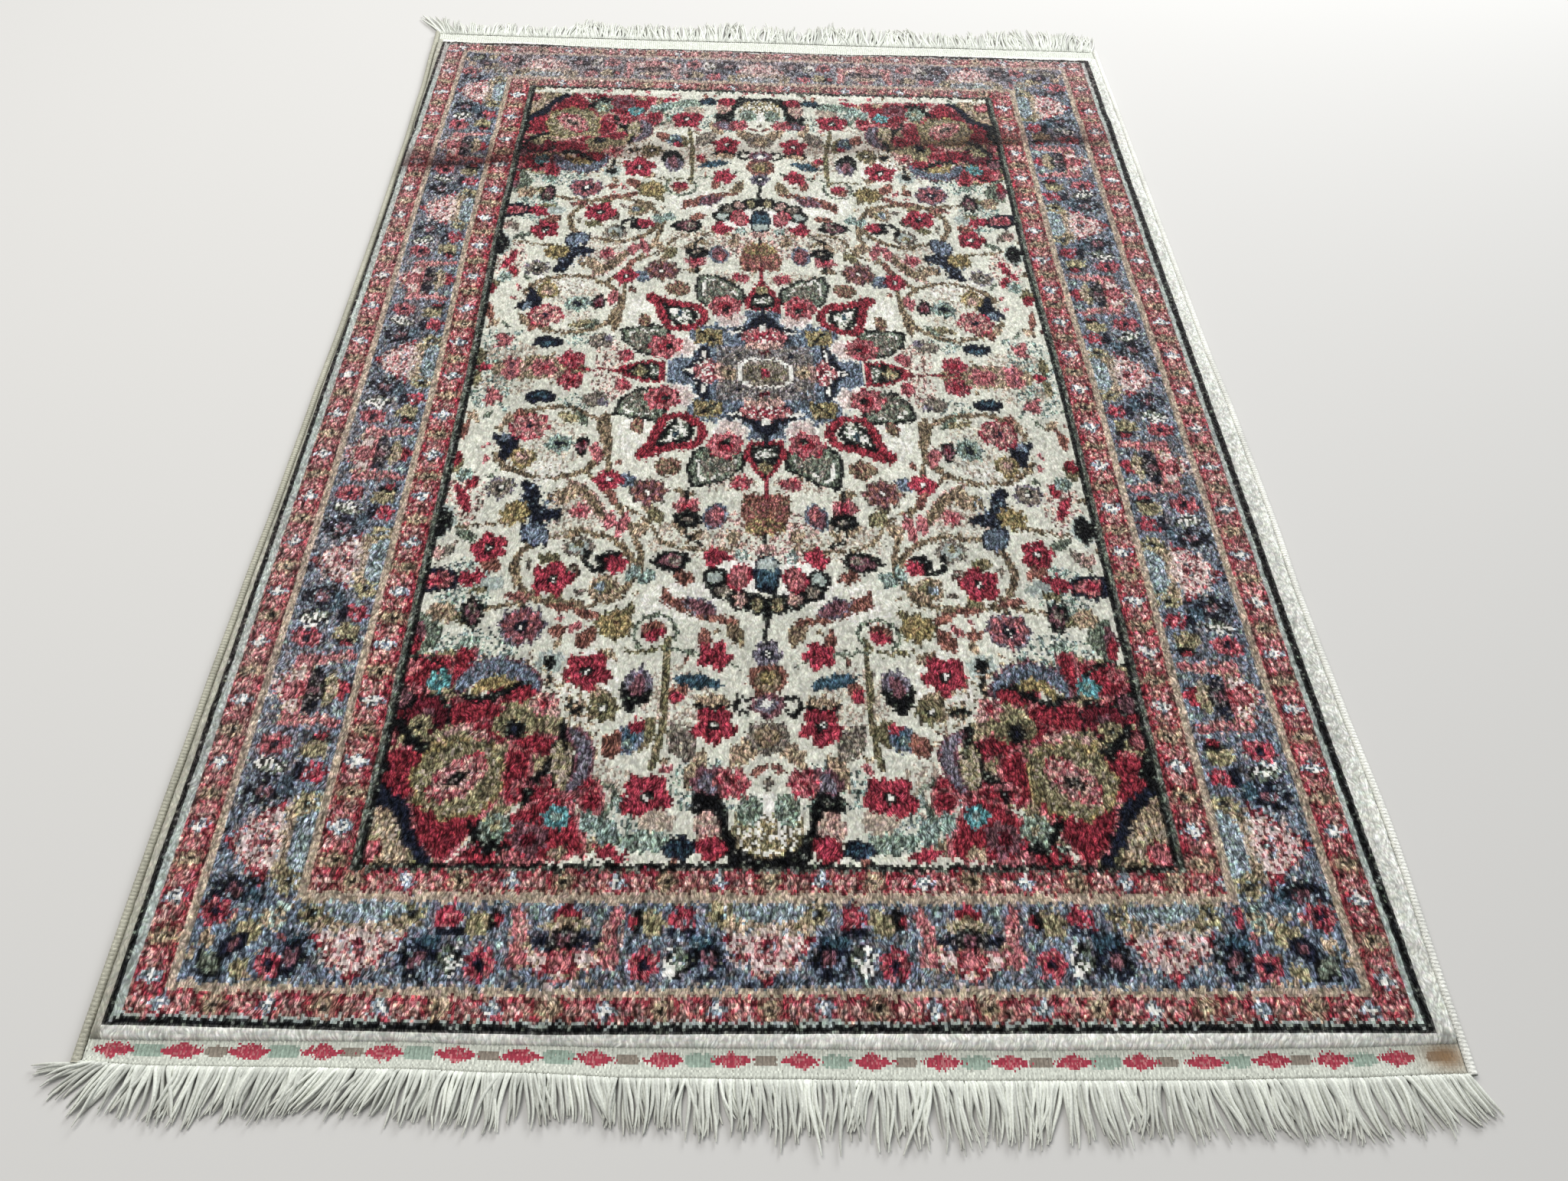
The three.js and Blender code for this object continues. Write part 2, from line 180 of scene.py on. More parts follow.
class Chart:
    """A plan of yarns on a fine grid. The first corner is at a = 0, b = 0, in millimetres."""
    STEP = 1.2

    def __init__(self, wide, long, ground):
        self.a, self.b = np.meshgrid(np.arange(0, wide + 2, self.STEP), np.arange(0, long + 2, self.STEP))
        self.ground = NUMBER[ground]
        self.yarn = np.full(self.a.shape, self.ground)

    def at(self, a, b):
        """The yarn at each place. A place beyond the plan has the yarn of its nearest edge."""
        column = np.clip(np.round(a / self.STEP).astype(int), 0, self.yarn.shape[1] - 1)
        row = np.clip(np.round(b / self.STEP).astype(int), 0, self.yarn.shape[0] - 1)
        return self.yarn[row, column]

    def lay(self, inside, yarn):
        """Ties one yarn everywhere inside."""
        self.yarn[inside] = NUMBER[yarn]

    def local(self, a, b, turn):
        """Distances across and along a motif with its middle at a, b, turned by some degrees."""
        c, s = np.cos(np.radians(turn)), np.sin(np.radians(turn))
        return (self.a - a) * c + (self.b - b) * s, (self.b - b) * c - (self.a - a) * s

    def round_patch(self, a, b, wide, long, turn):
        """Where an oval of this size lies."""
        across, along = self.local(a, b, turn)
        return (2 * across / wide) ** 2 + (2 * along / long) ** 2 < 1

    def to_line(self, a0, b0, a1, b1, least=0.0):
        """How far along a straight line each place lies, as a share, and how far from it."""
        da, db = a1 - a0, b1 - b0
        t = np.clip(((self.a - a0) * da + (self.b - b0) * db) / (da * da + db * db + least), 0, 1)
        return t, np.hypot(self.a - a0 - t * da, self.b - b0 - t * db)

    def wash(self, a, b, wide, long, yarn):
        """Knots of another yarn scattered through an oval of bare ground."""
        scatter = np.random.default_rng(int(a * 13 + b * 17)).random(self.a.shape) < 0.45
        self.lay(self.round_patch(a, b, wide, long, 0) & scatter & (self.yarn == self.ground), yarn)

    def fleck(self, a, b, wide, long, yarn, share, turn=0):
        """Single knots of another yarn, scattered through an oval."""
        scatter = np.random.default_rng(int(a * 31 + b * 7)).random(self.a.shape) < share
        self.lay(self.round_patch(a, b, wide, long, turn) & scatter, yarn)

    def block(self, a, b, wide, long, yarn):
        """A rectangle."""
        self.lay((np.abs(self.a - a) < wide / 2) & (np.abs(self.b - b) < long / 2), yarn)

    def shape(self, corners, yarn, edge=None, edge_width=2.2):
        """A patch with straight sides."""
        inside, near = np.zeros(self.a.shape, bool), np.full(self.a.shape, 1e9)
        for (a0, b0), (a1, b1) in zip(corners, corners[1:] + corners[:1]):
            if b1 != b0:
                beside = self.a < (a1 - a0) * (self.b - b0) / (b1 - b0) + a0
                inside ^= ((b0 > self.b) != (b1 > self.b)) & beside
            near = np.minimum(near, self.to_line(a0, b0, a1, b1)[1])
        if edge:
            self.lay(inside | (near < edge_width), edge)
        self.lay(inside, yarn)

    def oval(self, a, b, wide, long, yarn, edge=None, turn=0, point=2.0):
        """An oval, with an outline of another yarn if edge is given. A higher point makes it squarer."""
        across, along = (np.abs(v) for v in self.local(a, b, turn))
        for grow, colour in ((2.2, edge), (0.0, yarn)):
            if colour:
                reach = (across / (wide / 2 + grow)) ** point + (along / (long / 2 + grow)) ** point
                self.lay(reach < 1, colour)

    def mottle(self, a, b, wide, long, yarn, other, share):
        """An oval of one yarn with knots of another scattered through it."""
        self.oval(a, b, wide, long, yarn)
        self.fleck(a, b, wide, long, other, share)

    def leaf(self, a, b, wide, long, yarn, edge=None, turn=0):
        """A leaf that narrows to a point at both ends."""
        across, along = self.local(a, b, turn)
        for grow, colour in ((2.0, edge), (0.0, yarn)):
            if colour:
                taper = 1 - np.clip(along / (long / 2 + grow), -1, 1) ** 2
                self.lay((np.abs(across) < (wide / 2 + grow) * taper) & (taper > 0), colour)

    def flower(self, a, b, r, yarn, heart, eye, petals, edge=None, tips=None, turn=0, depth=0.26, core=0.3):
        """A round flower. Depth is how far the petals are cut in, and core the heart's share of r."""
        away = np.hypot(self.a - a, self.b - b)
        angle = np.arctan2(self.b - b, self.a - a) - np.radians(turn)
        petal = np.abs(np.cos(petals * angle / 2))
        reach = r * (1 - depth + depth * petal)
        if edge:
            self.lay(away < reach + 2.0, edge)
        self.lay(away < reach, yarn)
        if tips:
            self.lay((away < reach - 1.5) & (away > r * 0.42) & (petal > 0.7), tips)
        self.lay(away < r * core, heart)
        if eye:
            self.lay(away < 1.8, eye)

    def rosette(self, a, b, r, turn, depth, core):
        """The field's red flower, with a crimson outline, a black heart and a white eye."""
        self.flower(a, b, r, "red", "black", "white", 5, "crimson", "red", turn, depth, core)

    def palmette(self, a, b, wide, long, outer, inner, heart, turn=0, teeth=9):
        """A fan of toothed petals, drawn out to a point at one end, in three yarns."""
        across, along = self.local(a, b, turn)
        away = np.hypot(2 * across / wide, 2 * along / long)
        angle = np.arctan2(2 * across / wide, 2 * along / long)
        tooth = np.abs((angle * teeth / np.pi) % 1 - 0.5) * 2
        tip = 0.25 * np.exp(-(angle / 0.42) ** 2)
        foot = 0.12 * np.exp(-((np.abs(angle) - np.pi) / 0.5) ** 2)
        reach = 0.84 + tip - foot
        self.lay(away < reach + 0.16 * tooth, outer)
        self.lay(away < reach * 0.66 + 0.05 * tooth, inner)
        self.lay(np.hypot(2 * across / wide, 2 * along / long + 0.12) < 0.34, heart)

    def bud(self, a, b, wide, long, yarn, cup, turn, heart=None):
        """A bud with a notched tip, held in a cup of another yarn."""
        across, along = self.local(a, b, turn)
        height = along / long + 0.5
        inside = (height > 0) & (height < 1)
        swell = np.sin(np.pi * np.clip(height, 0, 1)) ** 0.6
        notch = 0.12 * np.abs(np.sin(3 * np.pi * across / wide))
        self.lay(inside & (np.abs(across) < wide / 2 * swell) & (height < 0.98 - notch), yarn)
        if heart:
            self.lay((2 * across / wide) ** 2 * 4 + ((height - 0.55) / 0.22) ** 2 < 1, heart)
        rim = 0.3 + 0.5 * (np.abs(across) / wide)
        self.lay(inside & (height < rim) & (np.abs(across) < wide * 0.54 * swell + 0.6), cup)

    def stem(self, points, wide, yarn, edge=None, taper=0.0, teeth=0):
        """A stem along a smooth route. With taper it is a long leaf, and with teeth a saw-edged one."""
        route = smooth(points)
        near = np.full(self.a.shape, 1e9)
        for k, (start, end) in enumerate(zip(route[:-1], route[1:])):
            t, away = self.to_line(*start, *end, 1e-9)
            place = (k + t) / (len(route) - 1)
            half = wide / 2 * (1 - taper + taper * np.sin(np.pi * place) ** 0.7)
            if teeth:
                half = half * (0.72 + 0.28 * ((place * teeth) % 1) * 2)
            near = np.minimum(near, away - half)
        if edge:
            self.lay(near < 1.8, edge)
        self.lay(near < 0, yarn)

    def crescent(self, a, b, r, thick, yarn, middle, spread, edge=None):
        """Part of a ring, thickest in its middle. Angles are in degrees."""
        away, angle = np.hypot(self.a - a, self.b - b), np.degrees(np.arctan2(self.b - b, self.a - a))
        off = np.abs((angle - middle + 180) % 360 - 180) / (spread / 2)
        half = thick / 2 * np.sqrt(np.clip(1 - off ** 2, 0, 1))
        if edge:
            self.lay((np.abs(away - r) < half + 1.8) & (off < 1.05), edge)
        self.lay((np.abs(away - r) < half) & (off < 1), yarn)

    def scroll(self, a, b, wide, high, thick, yarn, start=0, sweep=360):
        """A ring, or part of one, of even thickness."""
        across, along = (self.a - a) / (wide / 2), (self.b - b) / (high / 2)
        away, angle = np.hypot(across, along), np.degrees(np.arctan2(along, across))
        self.lay((np.abs(away - 1) < thick / min(wide, high)) & ((angle - start) % 360 <= sweep), yarn)

    def fill(self, count, yarns, sizes, seed, keep_off):
        """Small leaves at random places, each where the ground is free for some cells around."""
        draw = np.random.default_rng(seed)
        for _ in range(count):
            row, column = draw.integers(0, self.yarn.shape[0]), draw.integers(0, self.yarn.shape[1])
            near_rows = slice(max(0, row - keep_off), row + keep_off + 1)
            near_columns = slice(max(0, column - keep_off), column + keep_off + 1)
            if np.all(self.yarn[near_rows, near_columns] == self.ground):
                wide, yarn = draw.uniform(*sizes), yarns[draw.integers(0, len(yarns))]
                long = wide * draw.uniform(1.4, 2.6)
                self.leaf(self.a[row, column], self.b[row, column], wide, long, yarn, None,
                          draw.uniform(0, 180))


# The ground of the field
# One quarter of the field is charted and turned over for the other three. Its ivory wool is from uneven
# dye lots, so soft patches of white, cream, pink and pale green run through it.
field = Chart(262, 470, "ivory")
for a, b, wide, long, yarn in (
        (156, 41, 34, 22, "aqua"), (215, 20, 46, 30, "cream"), (100, 80, 40, 50, "white"),
        (60, 250, 60, 40, "white"), (180, 120, 50, 30, "white"), (30, 130, 50, 20, "cream"),
        (120, 320, 40, 60, "white"), (40, 400, 50, 40, "aqua"), (200, 290, 60, 30, "aqua"),
        (90, 430, 60, 26, "aqua"), (150, 170, 50, 40, "cream"), (60, 190, 60, 40, "cream"),
        (216, 240, 40, 60, "aqua"), (230, 150, 30, 60, "blush"), (130, 20, 30, 40, "blush"),
        (110, 400, 60, 40, "cream"), (60, 330, 50, 50, "cream"), (20, 190, 40, 60, "blush"),
        (230, 20, 40, 60, "aqua")):
    field.wash(a, b, wide, long, yarn)

# The vines
# Two ring-shaped vines and the stems that join them, in dull brown and green wool, are knotted first, so
# that the flowers lie over them.
for yarn in ("khaki", "cream"):
    field.fleck(178, 92, 76, 62, yarn, 0.3)
field.scroll(171, 88, 90, 80, 5.4, "stem", 20, 320)
field.scroll(140, 219, 84, 72, 5.4, "stem", -40, 320)
for stem in (
        ([(141, 121), (126, 141), (111, 161), (98, 188), (94, 216), (104, 241)], 5.0, "stem"),
        ([(245, 184), (216, 178), (191, 174)], 4.0, "stem"),
        ([(201, 256), (161, 250), (131, 253), (104, 246)], 4.6, "stem"),
        ([(140, 186), (161, 189), (179, 201)], 4.0, "stem"),
        ([(116, 154), (91, 171), (76, 194), (44, 200), (20, 196)], 3.4, "stem"),
        ([(153, 131), (136, 150), (118, 176)], 9, "stem", "blush", 0.9),
        ([(129, 60), (126, 90), (124, 120)], 4.4, "stem"),
        ([(69, 284), (69, 310), (69, 341), (74, 386)], 5.0, "olive"),
        ([(69, 290), (84, 292), (101, 291)], 3.2, "olive"),
        ([(69, 292), (40, 296), (20, 304)], 2.6, "sage"),
        ([(110, 392), (96, 404), (104, 424), (86, 436), (64, 440)], 4.2, "sage")):
    field.stem(*stem)

# The leaves
# Pointed leaves in faded reds, tans and greens lie along the vines and between them.
for a, b, wide, long, yarn, turn in (
        (120, 148, 8, 26, "rust", 25), (108, 176, 9, 30, "rose", -12), (150, 140, 9, 18, "tan", 10),
        (164, 148, 7, 16, "stem", -20), (86, 162, 9, 22, "tan", 55), (66, 178, 8, 18, "tan", 30),
        (54, 186, 8, 20, "stem", -50), (144, 256, 8, 24, "rust", 86), (146, 276, 14, 12, "rust", 0),
        (126, 282, 13, 24, "rust", -25), (110, 296, 9, 18, "tan", 60), (214, 264, 12, 20, "olive", 80),
        (234, 205, 9, 26, "taupe", -30), (84, 360, 20, 32, "olive", -35), (56, 366, 20, 36, "taupe", 28),
        (46, 388, 12, 34, "tan", -20), (14, 374, 13, 32, "tan", -42), (100, 262, 10, 24, "olive", -30),
        (22, 276, 13, 28, "stem", 20), (44, 284, 9, 26, "rust", 5), (112, 330, 10, 22, "tan", 70),
        (88, 412, 12, 26, "aqua", 60), (150, 60, 8, 22, "sage", 40), (206, 60, 8, 20, "tan", -40),
        (98, 222, 10, 20, "aqua", -20), (20, 130, 10, 22, "tan", 60), (62, 142, 8, 20, "stem", 80),
        (153, 147, 15, 26, "tan", -40), (118, 173, 10, 22, "rose", 0), (84, 167, 14, 20, "olive", 30),
        (130, 70, 12, 40, "stem", 0), (134, 100, 11, 24, "rose", 10), (226, 134, 9, 20, "crimson", -20),
        (60, 226, 12, 20, "rust", 70), (66, 250, 12, 26, "madder", 80), (96, 180, 12, 20, "tan", -30),
        (200, 216, 14, 24, "rust", 50), (150, 246, 10, 16, "olive", 0), (24, 186, 12, 18, "tan", 0),
        (222, 190, 9, 22, "sage", 60), (126, 262, 10, 20, "rust", 70), (176, 246, 9, 22, "madder", 80),
        (160, 60, 10, 24, "khaki", 70), (200, 56, 9, 18, "rust", 20), (236, 60, 8, 18, "tan", 40)):
    field.leaf(a, b, wide, long, yarn, None, turn)

# Flowers by the long edge of the field
# Flowers, leaves and a dark palmette stand against the border, the first ones on a tan ground.
field.mottle(190, 0, 84, 30, "tan", "blush", 0.4)
field.fleck(190, 0, 84, 30, "khaki", 0.25)
field.flower(186, -2, 14, "rose", "crimson", None, 6)
field.flower(163, 14, 12, "red", "crimson", None, 5, None, "rose", depth=0.2)
field.flower(213, 6, 9, "rose", "mauve", None, 5)
field.flower(236, -2, 8, "red", "crimson", None, 5)
field.leaf(223, 34, 9, 24, "rose", None, 40)
field.leaf(240, 14, 9, 26, "olive")
field.oval(226, 41, 9, 12, "rose")
field.leaf(241, 76, 8, 30, "rust", None, -10)
field.bud(243, 111, 12, 26, "crimson", "olive", 180)
field.flower(233, 126, 8, "aqua", "sage", None, 5)
field.stem([(238, 138), (230, 152), (226, 166)], 9, "red", None, 0.7)
field.leaf(241, 176, 15, 32, "black", "grey_green")
field.oval(240, 206, 12, 12, "blush")
field.palmette(236, 231, 26, 34, "navy", "rose", "red", 90)
field.stem([(244, 262), (232, 278), (240, 300)], 14, "sage", None, 0.8)
field.bud(242, 284, 9, 34, "crimson", "mauve", 0)

# Flowers round the two rings
# Round rosettes, toothed palmettes and buds ring the two vines, each in its own three or four yarns.
for oval in (
        (186, 36, 26, 15, "navy", None, 0, 2.6), (186, 34, 14, 6, "teal"), (141, 38, 22, 18, "taupe"),
        (134, 42, 9, 8, "lilac")):
    field.oval(*oval)
field.stem([(216, 80), (202, 92), (206, 108)], 15, "navy", None, 0.7, 4)
field.oval(207, 84, 9, 12, "slate")
field.palmette(191, 106, 22, 24, "gold", "tan", "blush")
field.palmette(146, 92, 14, 22, "black", "mauve", "wine", 0, 7)
field.flower(190, 71, 15, "rose", "navy", None, 8, "red", "blush", depth=0.2, core=0.2)
field.flower(164, 90, 12, "aqua", "sage", None, 8, core=0.5)
field.flower(164, 90, 4.5, "navy", "black", None, 4)
field.flower(142, 164, 8.5, "rose", "red", None, 8)
field.stem([(186, 134), (180, 144), (178, 156), (170, 168)], 13, "navy", None, 0.5, 6)
field.stem([(186, 160), (174, 166), (156, 168)], 14, "navy", None, 0.5, 5)
field.leaf(172, 186, 18, 26, "slate", "navy", 40)
field.fleck(176, 160, 34, 46, "slate", 0.2)
field.leaf(206, 142, 5, 14, "black", None, 20)
field.flower(189, 165, 12.5, "gold", "olive", None, 8, core=0.2)
field.flower(204, 139, 10.5, "taupe", "black", "white", 8, "lilac", core=0.34)
field.oval(108, 130, 17, 18, "slate")
field.flower(90, 141, 15, "mauve", "brown", "white", 8, "taupe", "rust", core=0.3)
field.flower(123, 130, 12, "red", "black", "white", 6, None, "red", core=0.25)
field.flower(60, 156, 11, "rose", "red", None, 5, core=0.4)
field.palmette(59, 170, 24, 19, "black", "black", "taupe", 180)
field.stem([(60, 138), (60, 148)], 3, "black")
field.stem([(60, 172), (60, 186), (48, 196)], 2.8, "black")
field.oval(38, 166, 14, 24, "mauve", "slate", -8)
field.oval(36, 163, 8, 14, "rose")
field.rosette(203, 200, 13, 0, 0.34, 0.32)
field.palmette(138, 198, 26, 24, "taupe", "grey_green", "olive", 20)
field.oval(131, 206, 6, 10, "black")
field.crescent(120, 208, 13, 5, "black", 60, 120)
field.palmette(141, 224, 14, 15, "brown", "taupe", "black", 180)
field.bud(112, 213, 18, 26, "red", "black", 60)
field.oval(159, 210, 18, 10, "olive")
field.rosette(155, 230, 15, 40, 0.34, 0.3)
field.palmette(119, 236, 24, 22, "tan", "olive", "pale_blue", 90, 7)
field.palmette(69, 211, 22, 30, "black", "mauve", "taupe", -90)
for oval in (
        (88, 226, 12, 16, "aqua", None, -30), (36, 209, 20, 16, "red", None, 30, 3),
        (212, 229, 22, 15, "red", None, 25), (197, 233, 18, 13, "grey_green", None, -10),
        (206, 240, 16, 7, "olive")):
    field.oval(*oval)
field.flower(228, 260, 10, "tan", "rust", None, 6, core=0.15)
field.palmette(208, 258, 18, 30, "black", "mauve", "taupe", 10)
field.flower(171, 272, 15.5, "mauve", "navy", "white", 8, "lilac", "rose", depth=0.2, core=0.34)
field.flower(107, 271, 13, "gold", "brown", None, 8, "olive", depth=0.2, core=0.16)
field.scroll(78, 278, 28, 30, 3.4, "sage", 150, 260)
field.bud(79, 277, 16, 20, "red", "rust", 20)
field.stem([(74, 238), (66, 252), (40, 264), (22, 266)], 8, "rust", None, 0.5)
field.leaf(48, 254, 12, 26, "mauve", "lilac", 62)
field.flower(148, 303, 11, "grey_green", "black", None, 8, core=0.5)
field.stem([(148, 312), (147, 324)], 3.6, "black")
field.rosette(122, 311, 16, 20, 0.36, 0.3)
field.bud(88, 322, 20, 42, "lilac", "black", 170, "mauve")
field.flower(110, 340, 12, "olive", "black", "white", 8, core=0.32)
field.leaf(128, 340, 10, 16, "black", None, 80)
field.palmette(90, 363, 20, 24, "slate", "teal", "aqua", 160)
field.oval(85, 353, 11, 8, "red")
field.leaf(101, 368, 15, 22, "rust", None, -20)
field.leaf(46, 318, 13, 38, "teal", None, 76)
field.bud(60, 327, 11, 18, "red", "rust", -25)
field.flower(36, 296, 13, "red", "crimson", None, 5, None, "red", 35, 0.36, 0.2)
field.bud(36, 336, 24, 16, "tan", "black", 180)
field.rosette(35, 354, 14, 90, 0.4, 0.3)
field.scroll(16, 336, 12, 13, 3.4, "black")
field.rosette(77, 406, 16, 90, 0.3, 0.3)
field.flower(37, 397, 13, "mauve", "lilac", None, 6, core=0.5)
field.flower(22, 396, 12, "rose", "crimson", None, 6, None, "red", 0, 0.24, 0.2)
field.oval(70, 424, 24, 16, "cream")
field.oval(108, 440, 20, 11, "tan")
field.leaf(76, 437, 15, 44, "pale_green", None, 84)
field.leaf(97, 444, 8, 24, "red", None, 80)
field.shape([(0, 452), (22, 452), (32, 444), (37, 424), (50, 414), (46, 402), (38, 405), (30, 402),
             (26, 416), (24, 430), (14, 442), (0, 446)], "black")
field.mottle(39, 428, 17, 24, "blush", "cream", 0.3)
field.oval(36, 442, 15, 13, "red", "crimson")
field.oval(55, 442, 20, 15, "navy")
field.fleck(55, 442, 18, 13, "teal", 0.4)
field.oval(0, 426, 44, 40, "khaki", None, 0, 2.4)
field.fleck(0, 426, 44, 40, "white", 0.35)
field.fleck(0, 434, 40, 24, "gold", 0.2)
field.oval(12, 415, 17, 22, "pale_green")
field.fleck(12, 415, 16, 20, "sage", 0.35)
field.oval(0, 411, 9, 16, "white")
field.stem([(0, 362), (10, 366), (20, 374)], 9, "tan")

# The pendant
# Under the medallion, on the long middle line, hang a rust cartouche, a white crossbar with small
# flowers and a column of palmettes.
field.shape([(-17, 142), (17, 142), (19, 160), (15, 176), (6, 184), (-6, 184), (-15, 176), (-19, 160)],
            "rust")
for fleck in (
        (0, 156, 40, 40, "stem", 0.3), (0, 156, 34, 30, "rose", 0.2), (0, 176, 32, 22, "gold", 0.6)):
    field.fleck(*fleck)
field.stem([(0, 184), (0, 204)], 4.0, "black")
field.block(0, 226, 76, 30, "white")
for a, b, wide, long, yarn in ((37, 228, 11, 13, "grey_green"), (31, 240, 12, 11, "taupe"),
                               (20, 247, 10, 12, "blush"), (8, 251, 8, 13, "khaki")):
    field.oval(a, b, wide + 8, long + 7, "black")
    field.oval(a, b, wide, long, yarn)
field.leaf(0, 256, 8, 26, "black")
for oval in (
        (20, 226, 13, 22, "rose", "red", -12), (0, 222, 15, 34, "teal", "navy", 0, 2.6),
        (0, 212, 15, 12, "grey_green"), (0, 236, 8, 10, "navy")):
    field.oval(*oval)
field.flower(18, 205, 6, "aqua", "white", None, 6)
field.flower(38, 207, 9.5, "red", "crimson", None, 4)
field.oval(0, 198, 16, 10, "blush")
field.stem([(0, 262), (0, 286)], 3.4, "black")
field.flower(0, 293, 12, "lilac", "navy", "white", 6, None, None, 0, 0.35, 0.42)
for palmette in (
        (0, 314, 32, 32, "rust", "stem", "gold", 0), (0, 335, 26, 20, "mauve", "lilac", "white", 0),
        (0, 360, 30, 28, "taupe", "stem", "tan", 0)):
    field.palmette(*palmette)

# The corner piece
# Each corner of the field is filled in khaki, with crimson patches outlined in rose, black saw-edged
# leaves and one large round flower.
field.shape([(252, 302), (206, 290), (200, 328), (160, 330), (130, 352), (120, 396), (106, 400), (112, 412),
             (158, 412), (184, 430), (198, 452), (252, 452)], "khaki")
for yarn in ("cream", "tan"):
    field.fleck(180, 372, 140, 150, yarn, 0.3)
for a, b, wide, long, yarn, turn in (
        (216, 336, 9, 26, "black", 60), (186, 350, 7, 30, "black", 80), (166, 372, 8, 26, "olive", -20),
        (226, 372, 10, 30, "khaki", 20), (244, 318, 8, 20, "wine", 0), (170, 396, 8, 28, "khaki", 10),
        (204, 432, 7, 22, "black", -30), (176, 414, 9, 20, "olive", 60), (150, 396, 9, 24, "cream", -30),
        (146, 362, 8, 20, "khaki", 40), (232, 326, 7, 18, "black", 50), (118, 408, 8, 20, "aqua", 70)):
    field.leaf(a, b, wide, long, yarn, None, turn)
for a, b, wide, long, turn in (
        (232, 389, 28, 36, 0), (196, 344, 42, 20, 0), (228, 312, 34, 24, 10), (207, 306, 13, 32, 0),
        (172, 326, 24, 16, 0), (160, 388, 16, 44, 0), (152, 366, 34, 14, -24), (140, 402, 40, 13, -6),
        (112, 404, 14, 26, 14), (120, 434, 14, 26, 0), (236, 340, 26, 22, 0), (178, 358, 30, 12, 0)):
    field.oval(a, b, wide, long, "crimson", "rose", turn, 2.4)
    field.fleck(a, b, wide * 0.8, long * 0.8, "wine", 0.2)
field.shape([(222, 412), (172, 408), (184, 432), (197, 452), (211, 436)], "crimson", "rose")
field.fleck(198, 426, 34, 34, "wine", 0.15)
field.shape([(252, 404), (242, 408), (228, 424), (214, 454), (252, 454)], "tan")
field.stem([(250, 392), (238, 406), (228, 414), (222, 430), (206, 450)], 10, "navy", None, 0.3, 7)
field.fleck(238, 436, 30, 34, "cream", 0.4)
field.fleck(238, 438, 30, 30, "khaki", 0.25)
field.oval(243, 444, 15, 12, "rose", "crimson", 30)
field.stem([(250, 372), (244, 384), (248, 398)], 8, "black", None, 0.4, 3)
field.flower(224, 346, 15, "wine", "mauve", None, 7, "black")
field.oval(243, 333, 13, 14, "mauve", "black")
field.flower(228, 354, 9, "khaki", "black", None, 6, core=0.2)
field.stem([(242, 348), (234, 360), (222, 372), (214, 366)], 8, "black", None, 0.4, 6)
field.oval(245, 362, 9, 13, "rose", "wine")
field.oval(213, 366, 12, 7, "gold", None, 30)
field.stem([(250, 302), (236, 300), (222, 306), (212, 326), (200, 330)], 3, "black", None, 0.2, 7)
field.flower(220, 319, 9, "turquoise", "aqua", None, 7)
field.flower(240, 310, 6, "rose", "crimson", None, 6)
field.oval(206, 286, 16, 10, "pale_green")
field.flower(196, 393, 28, "olive", "khaki", None, 9, "gold", None, depth=0.12, core=0.66)
field.fleck(196, 393, 54, 54, "khaki", 0.3)
field.fleck(196, 393, 54, 54, "cream", 0.12)
field.oval(196, 393, 24, 42, "rose", None, -45, 2.2)
for a, b, wide, long in ((188, 384, 13, 15), (206, 402, 11, 13)):
    field.oval(a, b, wide, long, "rose", "red", -45)
field.fleck(196, 393, 26, 42, "blush", 0.36, -45)
field.oval(197, 394, 7, 17, "black", "blush", -58)
field.oval(197, 394, 3, 9, "taupe", None, -58)
field.stem([(214, 364), (200, 357), (184, 362)], 4, "blush")
field.oval(163, 352, 34, 22, "khaki", None, 8)
field.fleck(163, 352, 34, 22, "olive", 0.5)
field.flower(166, 357, 7.5, "black", "navy", None, 6)
field.crescent(180, 334, 27, 13, "slate", -90, 150, "mauve")
field.fleck(180, 308, 50, 20, "lilac", 0.35)
field.crescent(180, 336, 18, 10, "gold", -90, 140)
field.stem([(202, 330), (192, 334), (180, 330), (168, 322), (160, 322)], 7, "black", None, 0.3, 7)
field.oval(163, 328, 16, 13, "crimson")
field.flower(149, 337, 10, "rose", "crimson", None, 6, None, "blush")
field.oval(141, 344, 9, 8, "blush")
field.stem([(134, 350), (132, 366), (140, 384), (150, 398), (152, 410)], 7, "black", None, 0.4, 8)
field.leaf(132, 384, 14, 38, "khaki", "black", 8)
field.fleck(132, 384, 14, 34, "cream", 0.3)
field.crescent(144, 380, 27, 9, "lilac", 184, 110, "mauve")
field.shape([(190, 451), (178, 438), (160, 420), (146, 410), (134, 406), (124, 410), (118, 428),
             (112, 446)], "crimson", "rose")
field.fleck(176, 442, 22, 16, "black", 0.45)
field.fleck(178, 440, 18, 14, "pale_green", 0.2)
field.flower(131, 419, 9.5, "turquoise", "aqua", None, 6)
field.stem([(158, 398), (140, 398), (124, 404), (108, 400)], 3, "rose")
field.stem([(184, 424), (176, 432), (166, 442), (154, 440)], 9, "black", None, 0.4, 5)
field.flower(167, 427, 11, "pale_green", "khaki", None, 6, None, "sage")
field.flower(146, 434, 13, "mauve", "wine", None, 7, "crimson", None, core=0.42)
field.oval(158, 447, 12, 7, "rose")
field.oval(128, 444, 13, 8, "tan")
for a, b, wide, long in ((112, 424, 11, 16), (100, 430, 14, 18)):
    field.oval(a, b, wide, long, "aqua")
field.oval(174, 450, 16, 5, "crimson")

